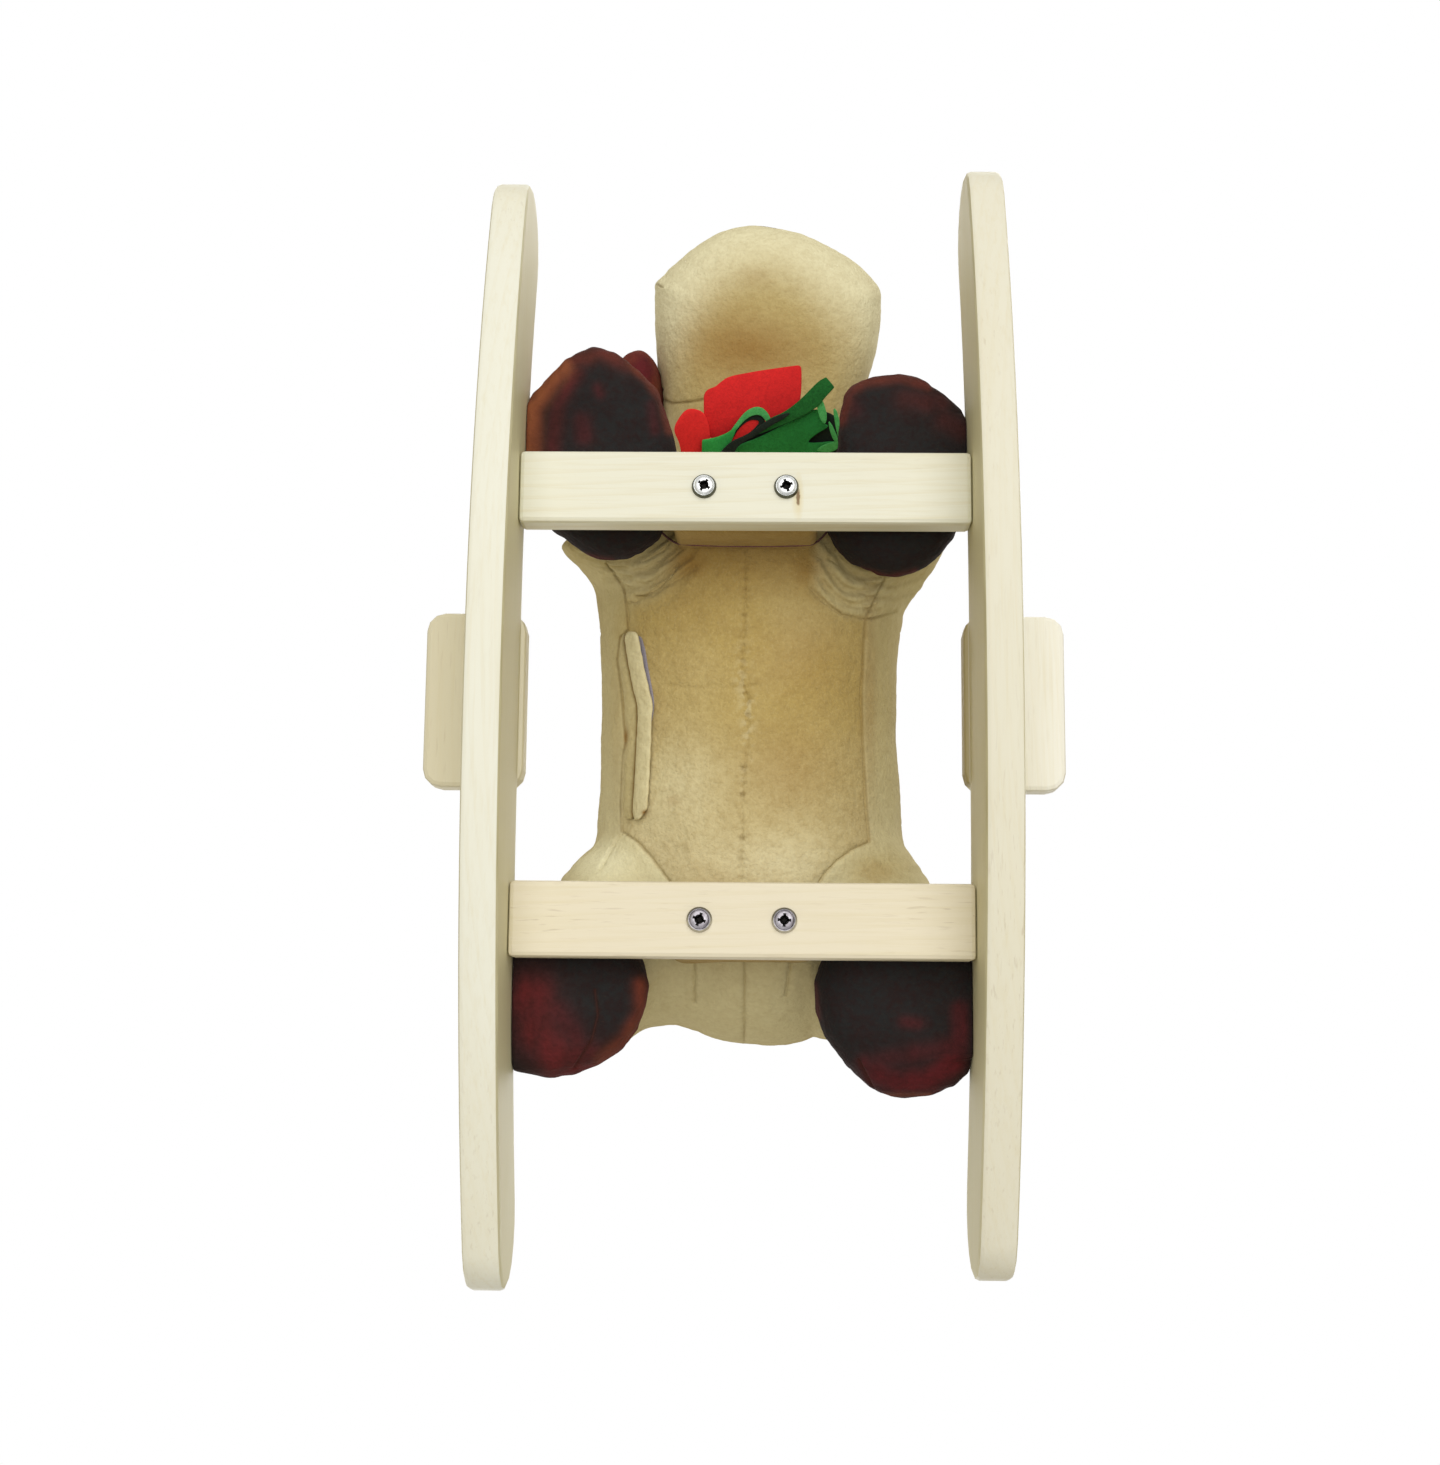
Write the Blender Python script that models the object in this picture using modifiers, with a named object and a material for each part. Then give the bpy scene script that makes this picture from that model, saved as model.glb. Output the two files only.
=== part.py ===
# A plush calf on two wooden rockers, about 680 mm long, seat 290 mm above the floor.
# Metres, +Z up, the calf looks along -Y. The origin is the middle of the footprint, on the floor.
import math

import bmesh
import bpy
from mathutils import Euler, Matrix, Vector

# Driving dimensions of the wooden base
BASE_WIDTH = 0.286
BOARD = 0.020
ROCKER_RADIUS = 0.765
ROCKER_MID_HEIGHT = 0.080
ROCKER_FLAT = 0.052
ROCKER_TOP_RADIUS = 0.600
ROCKER_END_RADIUS = 0.03347
ROCKER_FACETS = 12
# The photographed toy was put together with its rockers 8 mm out of step
ROCKER_STAGGER = 0.004
BAR_WIDTH = 0.040
BAR_BOTTOM = 0.050
BAR_REACH = 0.117
FOOTREST_SIZE = (0.055, 0.097, 0.018)
FOOTREST_OVERHANG = 0.0325
FOOTREST_Y = -0.0045
EDGE = 0.003

# Driving dimensions of the frame inside the plush
POST_SIZE = (0.070, 0.020)
POST_TOP = 0.235
SEAT_BOARD_SIZE = (0.090, 0.262, 0.015)
NECK_BOARD = 0.015
HANDLE_RADIUS = 0.011
HANDLE_LENGTH = 0.210
HANDLE_Y = -0.190
HANDLE_Z = 0.374

# Fasteners
SCREW_SPACING = 0.0445
SCREW_SHANK = 0.0022
SCREW_HEAD = 0.0047
SCREW_LENGTH = 0.050
WASHER_RADIUS = 0.0067
BOLT_SHANK = 0.003
BOLT_HEAD = 0.005
BOLT_LENGTH = 0.058
DOWEL_RADIUS = 0.004
DOWEL_LENGTH = 0.038
JOINT_OFFSET = 0.010
WOOD_SCREW_LENGTH = 0.036

# What the plush measures
PLUSH_X = 0.002
BELLY_SQUARENESS = 3.2
BACK_SQUARENESS = 2.2
HEAD_X = 0.012
MUZZLE_REACH = 0.3765
# Subdivision draws the tip of the muzzle in by this much
TIP_DRAWN_IN = 0.0024
GAP = 0.0004
FORM_GAP = 0.0007

inner_face = BASE_WIDTH / 2 - BOARD
rocker_mid = BASE_WIDTH / 2 - BOARD / 2
bar_top = BAR_BOTTOM + BOARD
seat_board_top = POST_TOP + GAP + SEAT_BOARD_SIZE[2]

for old in list(bpy.data.objects):
    bpy.data.objects.remove(old, do_unlink=True)

parts = bpy.data.collections.new("rocking_calf")
cutters = bpy.data.collections.new("cutters")
for collection in (parts, cutters):
    bpy.context.scene.collection.children.link(collection)


# Materials
def material(name, red, green, blue, roughness, metallic=0.0):
    made = bpy.data.materials.new(name)
    made.use_nodes = True
    shader = made.node_tree.nodes["Principled BSDF"]
    shader.inputs["Base Color"].default_value = (red, green, blue, 1)
    shader.inputs["Roughness"].default_value = roughness
    shader.inputs["Metallic"].default_value = metallic
    made.diffuse_color = (red, green, blue, 1)
    return made


wood = material("pale_wood", 0.80, 0.71, 0.52, 0.6)
plywood = material("birch_plywood", 0.66, 0.50, 0.30, 0.7)
steel = material("zinc_steel", 0.72, 0.72, 0.70, 0.3, 1.0)
cream_plush = material("cream_plush", 0.62, 0.50, 0.29, 0.95)
brown_plush = material("brown_plush", 0.07, 0.018, 0.012, 0.9)
red_felt = material("red_felt", 0.62, 0.02, 0.02, 0.9)
green_felt = material("green_felt", 0.03, 0.30, 0.05, 0.9)
black_plastic = material("black_plastic", 0.01, 0.01, 0.01, 0.15)


def circles_meet(centre_a, radius_a, centre_b, radius_b):
    # The crossing of two circles that lies nearer to the middle of the toy
    across = centre_b - centre_a
    gap = across.length
    along = (radius_a**2 - radius_b**2 + gap**2) / (2 * gap)
    height = math.sqrt(radius_a**2 - along**2)
    unit = across / gap
    square = Vector((-unit.y, unit.x))
    found = [centre_a + unit * along + square * height * side for side in (1, -1)]
    return min(found, key=lambda point: point.x)


# Every object hangs on one empty, which puts the footprint's middle at the origin
end_centre = circles_meet(
    Vector((0, ROCKER_RADIUS)),
    ROCKER_RADIUS - ROCKER_END_RADIUS,
    Vector((ROCKER_FLAT, ROCKER_MID_HEIGHT + ROCKER_TOP_RADIUS)),
    ROCKER_TOP_RADIUS + ROCKER_END_RADIUS,
)
rocker_reach = end_centre.x + ROCKER_END_RADIUS

toy = bpy.data.objects.new("toy_frame", None)
toy.location = (0, (MUZZLE_REACH - rocker_reach - ROCKER_STAGGER) / 2, 0)
parts.objects.link(toy)


def place(name, mesh, mat, location=(0, 0, 0), turn=(0, 0, 0), cutter=False):
    made = bpy.data.objects.new(name, mesh)
    made.parent = toy
    made.location = location
    made.rotation_euler = turn
    if cutter:
        made.hide_render = True
        made.display_type = "WIRE"
        cutters.objects.link(made)
    else:
        mesh.materials.append(mat)
        parts.objects.link(made)
    return made


def smooth(mesh, angle=40):
    mesh.shade_smooth()
    mesh.set_sharp_from_angle(angle=math.radians(angle))


def rounded(made, width, segments=2):
    bevel = made.modifiers.new("Rounded edges", "BEVEL")
    bevel.width = width
    bevel.segments = segments
    bevel.limit_method = "ANGLE"
    bevel.angle_limit = math.radians(40)
    return made


def cut(made, *tools):
    for tool in tools:
        boolean = made.modifiers.new("Cut by " + tool.name, "BOOLEAN")
        boolean.operation = "DIFFERENCE"
        boolean.object = tool
        boolean.solver = "EXACT"


def box(name, size, centre, mat, edge=0.0, turn=(0, 0, 0), cutter=False):
    mesh = bpy.data.meshes.new(name)
    build = bmesh.new()
    bmesh.ops.create_cube(build, size=1.0, matrix=Matrix.Diagonal((*size, 1)))
    build.to_mesh(mesh)
    build.free()
    made = place(name, mesh, mat, centre, turn, cutter)
    if edge:
        rounded(made, edge)
    return made


def rod(name, start, end, radius, mat=None, sides=16, cutter=False, edge=0.0):
    start = Vector(start)
    along = Vector(end) - start
    mesh = bpy.data.meshes.new(name)
    build = bmesh.new()
    bmesh.ops.create_cone(
        build, cap_ends=True, segments=sides, radius1=radius, radius2=radius, depth=along.length
    )
    build.to_mesh(mesh)
    build.free()
    smooth(mesh)
    turn = along.to_track_quat("Z", "Y").to_euler()
    made = place(name, mesh, mat, start + along / 2, turn, cutter)
    if edge:
        rounded(made, edge)
    return made


def turned(name, profile, location, turn, mat, sides=16, cutter=False):
    # The profile is (radius, height) pairs, from the top of the axis down the outer side.
    mesh = bpy.data.meshes.new(name)
    points = [(radius, 0, height) for radius, height in profile]
    mesh.from_pydata(points, [(i, i + 1) for i in range(len(points) - 1)], [])
    made = place(name, mesh, mat, location, turn, cutter)
    screw = made.modifiers.new("Turned", "SCREW")
    screw.steps = sides
    screw.render_steps = sides
    screw.use_merge_vertices = True
    screw.merge_threshold = 0.00001
    screw.use_smooth_shade = True
    return made


def outline(name, points, thickness, mat, location=(0, 0, 0), turn=(0, 0, 0), edge=0.0, cutter=False):
    # A flat board: a 2D curve, extruded both ways and turned into a welded mesh
    curve = bpy.data.curves.new(name + "_curve", "CURVE")
    curve.dimensions = "2D"
    curve.fill_mode = "BOTH"
    curve.extrude = thickness / 2
    spline = curve.splines.new("POLY")
    spline.points.add(len(points) - 1)
    for point, (along, up) in zip(spline.points, points):
        point.co = (along, up, 0, 1)
    spline.use_cyclic_u = True
    flat = bpy.data.objects.new(name + "_flat", curve)
    parts.objects.link(flat)
    bpy.context.view_layer.update()
    found = flat.evaluated_get(bpy.context.evaluated_depsgraph_get())
    mesh = bpy.data.meshes.new_from_object(found)
    bpy.data.objects.remove(flat)
    build = bmesh.new()
    build.from_mesh(mesh)
    bmesh.ops.remove_doubles(build, verts=build.verts, dist=0.000001)
    bmesh.ops.dissolve_limit(build, angle_limit=math.radians(0.1), verts=build.verts, edges=build.edges)
    bmesh.ops.recalc_face_normals(build, faces=build.faces)
    build.to_mesh(mesh)
    build.free()
    made = place(name, mesh, mat, location, turn, cutter)
    if edge:
        rounded(made, edge)
    return made


UPRIGHT = (math.pi / 2, 0, math.pi / 2)


# Stuffed forms. A station is (x, y, z, half width, half height), and the first and last are
# the tips. Rings stand square to the path, and Subdivision Surface rounds the cage.
def stuffed(name, stations, mat, ring=12, low=2.0, top=2.0, grow=0.0, location=(0, 0, 0), turn=(0, 0, 0)):
    cutter = grow > 0
    middle = [Vector(station[:3]) for station in stations]
    sizes = [station[3:5] for station in stations[1:-1]]
    widest = max(size[0] for size in sizes)
    keep = (3 + math.cos(2 * math.pi / ring)) / 4
    build = bmesh.new()
    loops = []
    for index, (wide, high) in enumerate(sizes, start=1):
        ahead = (middle[index + 1] - middle[index - 1]).normalized()
        side = Vector((1, 0, 0))
        side = (side - ahead * side.dot(ahead)).normalized()
        up = side.cross(ahead)
        if up.z < 0:
            up = -up
        end_shift = grow * (1 - wide / widest) * (1 if index > len(sizes) / 2 else -1)
        centre = middle[index] + ahead * end_shift
        loop = []
        for step in range(ring):
            angle = 2 * math.pi * step / ring
            power = 2 / (top if math.sin(angle) >= 0 else low)
            across = math.copysign(abs(math.cos(angle)) ** power, math.cos(angle))
            rise = math.copysign(abs(math.sin(angle)) ** power, math.sin(angle))
            point = centre + side * across * (wide + grow) / keep + up * rise * (high + grow) / keep
            loop.append(build.verts.new(point))
        loops.append(loop)
    first_way = (middle[0] - middle[1]).normalized()
    last_way = (middle[-1] - middle[-2]).normalized()
    first = build.verts.new(middle[0] + first_way * grow)
    last = build.verts.new(middle[-1] + last_way * grow)
    for step in range(ring):
        after = (step + 1) % ring
        build.faces.new((first, loops[0][after], loops[0][step]))
        build.faces.new((last, loops[-1][step], loops[-1][after]))
        for here, there in zip(loops, loops[1:]):
            build.faces.new((here[step], here[after], there[after], there[step]))
    bmesh.ops.recalc_face_normals(build, faces=build.faces)
    mesh = bpy.data.meshes.new(name)
    build.to_mesh(mesh)
    build.free()
    mesh.shade_smooth()
    made = place(name, mesh, mat, location, turn, cutter)
    soft = made.modifiers.new("Soft", "SUBSURF")
    soft.levels = 1
    soft.render_levels = 1
    return made


# Rockers: a circular lower edge in flat facets, the lowest one under the middle
facet = 2 * math.asin(rocker_reach / ROCKER_RADIUS) / (2 * ROCKER_FACETS + 1)


def rocker_outline():
    lift = ROCKER_RADIUS * (1 - math.cos(facet / 2))
    lower_end = math.atan2(end_centre.x, ROCKER_RADIUS - end_centre.y)
    upper_end = math.atan2(
        end_centre.x - ROCKER_FLAT, ROCKER_MID_HEIGHT + ROCKER_TOP_RADIUS - end_centre.y
    )
    half = []
    turn = facet / 2
    while turn < lower_end - facet / 3:
        half.append((ROCKER_RADIUS * math.sin(turn), ROCKER_RADIUS * (1 - math.cos(turn))))
        turn += facet
    start = lower_end - math.pi / 2
    stop = upper_end + math.pi / 2
    for step in range(9):
        angle = start + (stop - start) * step / 8
        half.append(
            (
                end_centre.x + ROCKER_END_RADIUS * math.cos(angle),
                end_centre.y + ROCKER_END_RADIUS * math.sin(angle),
            )
        )
    for step in range(6, -1, -1):
        angle = upper_end * step / 7
        half.append(
            (
                ROCKER_FLAT + ROCKER_TOP_RADIUS * math.sin(angle),
                ROCKER_MID_HEIGHT + ROCKER_TOP_RADIUS * (1 - math.cos(angle)),
            )
        )
    right = [(along, max(up - lift, 0.0)) for along, up in half]
    left = [(-along, up) for along, up in reversed(right)]
    return right + left


sides = {"left": -1, "right": 1}
ends = {"front": -1, "rear": 1}
rockers = {}
for side, x in sides.items():
    rockers[side] = outline(
        "rocker_" + side,
        rocker_outline(),
        BOARD,
        wood,
        (x * rocker_mid, -x * ROCKER_STAGGER, 0),
        UPRIGHT,
        EDGE,
    )

# Crossbars, butted between the rockers
bars = {}
for end, y in ends.items():
    bars[end] = box(
        "crossbar_" + end,
        (2 * (inner_face - GAP), BAR_WIDTH, BOARD),
        (0, y * BAR_REACH, BAR_BOTTOM + BOARD / 2),
        wood,
        0.0025,
    )


# Fasteners. Each hole is cut by the same shape as its fastener, with a gap round it.
def bolt_profile(grow=0.0):
    return [
        (0, BOLT_HEAD * 1.1 + grow),
        (BOLT_HEAD + grow, BOLT_HEAD * 1.1 + grow),
        (BOLT_HEAD + grow, -grow),
        (BOLT_SHANK + grow, -grow),
        (BOLT_SHANK + grow, -BOLT_LENGTH + BOLT_HEAD - grow),
        (0, -BOLT_LENGTH + BOLT_HEAD - BOLT_SHANK / 2 - grow),
    ]


def screw_profile(length, grow=0.0, raised=0.0012):
    return [
        (0, raised + grow),
        (SCREW_HEAD * 0.55 + grow, raised * 0.75 + grow),
        (SCREW_HEAD + grow, grow),
        (SCREW_SHANK + grow, -SCREW_HEAD + SCREW_SHANK),
        (SCREW_SHANK + grow, -length + 2 * SCREW_SHANK),
        (0, -length - grow),
    ]


washer_profile = [
    (SCREW_HEAD + GAP, -0.0001),
    (SCREW_HEAD + 0.0009, 0.0002),
    (WASHER_RADIUS - 0.0006, -0.0004),
    (WASHER_RADIUS, -0.0021),
    (SCREW_SHANK + 0.0012 + GAP, -0.0021),
    (SCREW_HEAD + GAP, -0.0001),
]

posts = {}
sleeves = {}
post_spaces = []
for end, y in ends.items():
    foot = bar_top + GAP
    posts[end] = box(
        "post_" + end,
        (*POST_SIZE, POST_TOP - foot),
        (0, y * BAR_REACH, (POST_TOP + foot) / 2),
        wood,
        0.002,
    )
    space = box(
        "post_space_" + end,
        (POST_SIZE[0] + 2 * GAP, POST_SIZE[1] + 2 * GAP, POST_TOP - 0.030),
        (0, y * BAR_REACH, (POST_TOP + 0.030) / 2),
        None,
        cutter=True,
    )
    post_spaces.append(space)
    for side, x in sides.items():
        lower = (x * SCREW_SPACING / 2, y * BAR_REACH, BAR_BOTTOM - 0.0021 - GAP)
        turned(
            f"bar_screw_{end}_{side}",
            screw_profile(SCREW_LENGTH),
            lower,
            (math.pi, 0, 0),
            steel,
            12,
        )
        hole = turned(
            f"bar_screw_hole_{end}_{side}",
            screw_profile(SCREW_LENGTH, GAP),
            lower,
            (math.pi, 0, 0),
            None,
            12,
            cutter=True,
        )
        turned(
            f"cup_washer_{end}_{side}",
            washer_profile,
            lower,
            (math.pi, 0, 0),
            steel,
            20,
        )
        cut(bars[end], hole)
        cut(posts[end], hole)
        # Bolt and dowel through each butt joint
        bolt_spot = (x * (BASE_WIDTH / 2 - 0.0075), y * (BAR_REACH - JOINT_OFFSET), bar_top - BOARD / 2)
        bolt_turn = (0, x * math.pi / 2, 0)
        turned(f"joint_bolt_{end}_{side}", bolt_profile(), bolt_spot, bolt_turn, steel, 12)
        bolt_hole = turned(
            f"joint_bolt_hole_{end}_{side}", bolt_profile(GAP), bolt_spot, bolt_turn, None, 12, cutter=True
        )
        counterbore = rod(
            f"joint_counterbore_{end}_{side}",
            (x * (BASE_WIDTH / 2 - 0.0074), bolt_spot[1], bolt_spot[2]),
            (x * (BASE_WIDTH / 2 + 0.005), bolt_spot[1], bolt_spot[2]),
            BOLT_HEAD + 0.0008,
            cutter=True,
        )
        dowel_y = y * (BAR_REACH + JOINT_OFFSET)
        dowel_ends = [
            (x * (inner_face + BOARD * 0.7 - shift), dowel_y, bolt_spot[2]) for shift in (0, DOWEL_LENGTH)
        ]
        rod(f"joint_dowel_{end}_{side}", *dowel_ends, DOWEL_RADIUS, wood, 12)
        dowel_ends = [
            (x * (inner_face + BOARD * 0.7 + GAP - shift), dowel_y, bolt_spot[2])
            for shift in (0, DOWEL_LENGTH + 2 * GAP)
        ]
        dowel_hole = rod(
            f"joint_dowel_hole_{end}_{side}", *dowel_ends, DOWEL_RADIUS + GAP, sides=12, cutter=True
        )
        cut(bars[end], bolt_hole, dowel_hole)
        cut(rockers[side], bolt_hole, counterbore, dowel_hole)

# Footrests, screwed down onto the flat of each rocker
wide, long, thick = FOOTREST_SIZE
for side, x in sides.items():
    rest_centre = x * (BASE_WIDTH / 2 + FOOTREST_OVERHANG - wide / 2)
    corners = []
    corner = 0.010
    for turn, (a, b) in enumerate(((1, 1), (-1, 1), (-1, -1), (1, -1))):
        for step in range(4):
            angle = math.pi / 2 * (turn + step / 3)
            corners.append(
                (
                    a * (wide / 2 - corner) + corner * math.cos(angle),
                    b * (long / 2 - corner) + corner * math.sin(angle),
                )
            )
    rest_bottom = ROCKER_MID_HEIGHT + GAP
    rest = outline(
        "footrest_" + side,
        corners,
        thick,
        wood,
        (rest_centre, FOOTREST_Y, rest_bottom + thick / 2),
        edge=0.0025,
    )
    for end, y in ends.items():
        top = (x * rocker_mid, FOOTREST_Y + y * long * 0.28, rest_bottom + thick - 0.0003)
        profile = screw_profile(WOOD_SCREW_LENGTH, raised=0.0002)
        turned(f"footrest_screw_{side}_{end}", profile, top, (0, 0, 0), steel, 12)
        hole_profile = screw_profile(WOOD_SCREW_LENGTH, GAP, 0.004)
        hole = turned(
            f"footrest_hole_{side}_{end}", hole_profile, top, (0, 0, 0), None, 12, cutter=True
        )
        cut(rest, hole)
        cut(rockers[side], hole)

# Seat board on the two posts, neck board on the seat board, handle through the neck board
seat_board = box(
    "seat_board",
    SEAT_BOARD_SIZE,
    (0, 0, POST_TOP + GAP + SEAT_BOARD_SIZE[2] / 2),
    plywood,
    0.002,
)
for end, y in ends.items():
    for side, x in sides.items():
        top = (x * 0.022, y * BAR_REACH, seat_board_top - 0.0003)
        profile = screw_profile(WOOD_SCREW_LENGTH, raised=0.0002)
        turned(f"seat_screw_{end}_{side}", profile, top, (0, 0, 0), steel, 12)
        hole = turned(
            f"seat_screw_hole_{end}_{side}",
            screw_profile(WOOD_SCREW_LENGTH, GAP, 0.004),
            top,
            (0, 0, 0),
            None,
            12,
            cutter=True,
        )
        cut(seat_board, hole)
        cut(posts[end], hole)


def neck_outline(grow=0.0):
    # A foot on the seat board, a sloping stem and a round end about the handle
    foot = seat_board_top + GAP
    reach = 0.024 + grow
    points = [(-0.070 + grow, foot - grow), (-0.070 + grow, foot + 0.016 + grow)]
    for step in range(9):
        angle = math.radians(30 + 190 * step / 8)
        points.append((HANDLE_Y + reach * math.cos(angle), HANDLE_Z + reach * math.sin(angle)))
    points += [(-0.128 - grow, foot + 0.020 - grow), (-0.128 - grow, foot - grow)]
    return points


neck_board = outline("neck_board", neck_outline(), NECK_BOARD, plywood, turn=UPRIGHT)
neck_space = outline(
    "neck_space", neck_outline(2 * GAP), NECK_BOARD + 2 * GAP, None, turn=UPRIGHT, cutter=True
)
for number, y in (("front", -0.112), ("rear", -0.086)):
    lower = (0, y, POST_TOP + GAP + 0.0003)
    profile = screw_profile(WOOD_SCREW_LENGTH, raised=0.0002)
    turned(f"neck_screw_{number}", profile, lower, (math.pi, 0, 0), steel, 12)
    hole = turned(
        f"neck_screw_hole_{number}",
        screw_profile(WOOD_SCREW_LENGTH, GAP, 0.004),
        lower,
        (math.pi, 0, 0),
        None,
        12,
        cutter=True,
    )
    cut(seat_board, hole)
    cut(neck_board, hole)

handle_ends = [(HEAD_X * 0.6 + x * HANDLE_LENGTH / 2, HANDLE_Y, HANDLE_Z) for x in (-1, 1)]
rod("handle_dowel", *handle_ends, HANDLE_RADIUS, wood, 24, edge=0.004)
handle_space = rod("handle_space", *handle_ends, HANDLE_RADIUS + GAP, sides=24, cutter=True)
cut(neck_board, handle_space)
seat_space = box(
    "seat_space",
    (SEAT_BOARD_SIZE[0] + 2 * GAP, SEAT_BOARD_SIZE[1] + 2 * GAP, SEAT_BOARD_SIZE[2] + 4 * GAP),
    (0, 0, POST_TOP + GAP + SEAT_BOARD_SIZE[2] / 2),
    None,
    cutter=True,
)

# Plush torso: a padded tube, full at shoulders and hips, with a flat belly
torso = [
    (PLUSH_X, 0.184, 0.202),
    (PLUSH_X, 0.178, 0.201, 0.042, 0.044),
    (PLUSH_X, 0.160, 0.200, 0.074, 0.075),
    (PLUSH_X, 0.125, 0.199, 0.089, 0.091),
    (PLUSH_X, 0.075, 0.196, 0.089, 0.092),
    (PLUSH_X, 0.025, 0.194, 0.088, 0.089),
    (PLUSH_X, -0.025, 0.194, 0.088, 0.089),
    (PLUSH_X, -0.070, 0.196, 0.090, 0.091),
    (PLUSH_X, -0.112, 0.198, 0.089, 0.089),
    (PLUSH_X, -0.142, 0.200, 0.074, 0.074),
    (PLUSH_X, -0.160, 0.203, 0.046, 0.048),
    (PLUSH_X, -0.168, 0.204),
]
torso_shape = {"ring": 16, "low": BELLY_SQUARENESS, "top": BACK_SQUARENESS}
body = stuffed("body", torso, cream_plush, **torso_shape)
body_space = stuffed("body_space", torso, None, grow=FORM_GAP, **torso_shape)
cut(body, *post_spaces, seat_space, neck_space)

# Head: a round skull that runs into a broad square muzzle
head_path = [
    (0, -0.150, 0.376),
    (0, -0.160, 0.375, 0.044, 0.048),
    (0, -0.190, 0.370, 0.064, 0.072),
    (0, -0.232, 0.361, 0.067, 0.086),
    (0, -0.268, 0.350, 0.070, 0.085),
    (0, -0.300, 0.331, 0.077, 0.068),
    (0, -0.330, 0.323, 0.0775, 0.060),
    (0, -0.353, 0.320, 0.068, 0.049),
    (0, -0.370, 0.318, 0.045, 0.033),
    (0, -MUZZLE_REACH - TIP_DRAWN_IN, 0.317),
]
head_shape = {"ring": 14, "low": 2.6, "top": 2.3, "location": (HEAD_X, 0, 0)}
head = stuffed("head", head_path, cream_plush, **head_shape)
head_space = stuffed("head_space", head_path, None, grow=FORM_GAP, **head_shape)
cut(head, neck_space, handle_space)

# Neck: fills the throat between torso and head
neck_path = [
    (PLUSH_X, -0.070, 0.196),
    (PLUSH_X, -0.092, 0.216, 0.056, 0.056),
    (0.005, -0.132, 0.252, 0.067, 0.070),
    (0.007, -0.168, 0.296, 0.066, 0.072),
    (0.009, -0.194, 0.340, 0.058, 0.062),
    (0.010, -0.214, 0.376, 0.040, 0.042),
    (0.010, -0.224, 0.398),
]
neck = stuffed("neck", neck_path, cream_plush, ring=12)
throat_space = stuffed("throat_space", neck_path, None, ring=12, grow=FORM_GAP)
cut(neck, body_space, head_space, neck_space)

# Sleeves of plush that cover the posts between the belly and the crossbars
for end, y in ends.items():
    sleeve_low = bar_top + GAP
    sleeve_high = 0.116
    sleeve_size = (0.081, BAR_WIDTH - 0.001, sleeve_high - sleeve_low)
    sleeve_spot = (0, y * BAR_REACH, (sleeve_high + sleeve_low) / 2)
    sleeve = box("post_sleeve_" + end, sleeve_size, sleeve_spot, cream_plush, 0.005)
    cut(sleeve, post_spaces[list(ends).index(end)], body_space)
    grown = tuple(side_length + 2 * FORM_GAP for side_length in sleeve_size)
    sleeves[end] = box("sleeve_space_" + end, grown, sleeve_spot, None, cutter=True)

# Feet lie on the crossbars, wedged against the rockers. (x, y, half width, half length, toe out)
feet = {
    ("front", "left"): (-0.0820, -0.1500, 0.0450, 0.0620, 0.001),
    ("front", "right"): (0.0850, -0.1380, 0.0415, 0.0590, 0.004),
    ("rear", "left"): (-0.0880, 0.1535, 0.0395, 0.0465, 0.009),
    ("rear", "right"): (0.0830, 0.1605, 0.0445, 0.0480, 0.004),
}
FOOT_MIDDLE = 0.100
FOOT_HALF_HEIGHT = 0.032
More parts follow.
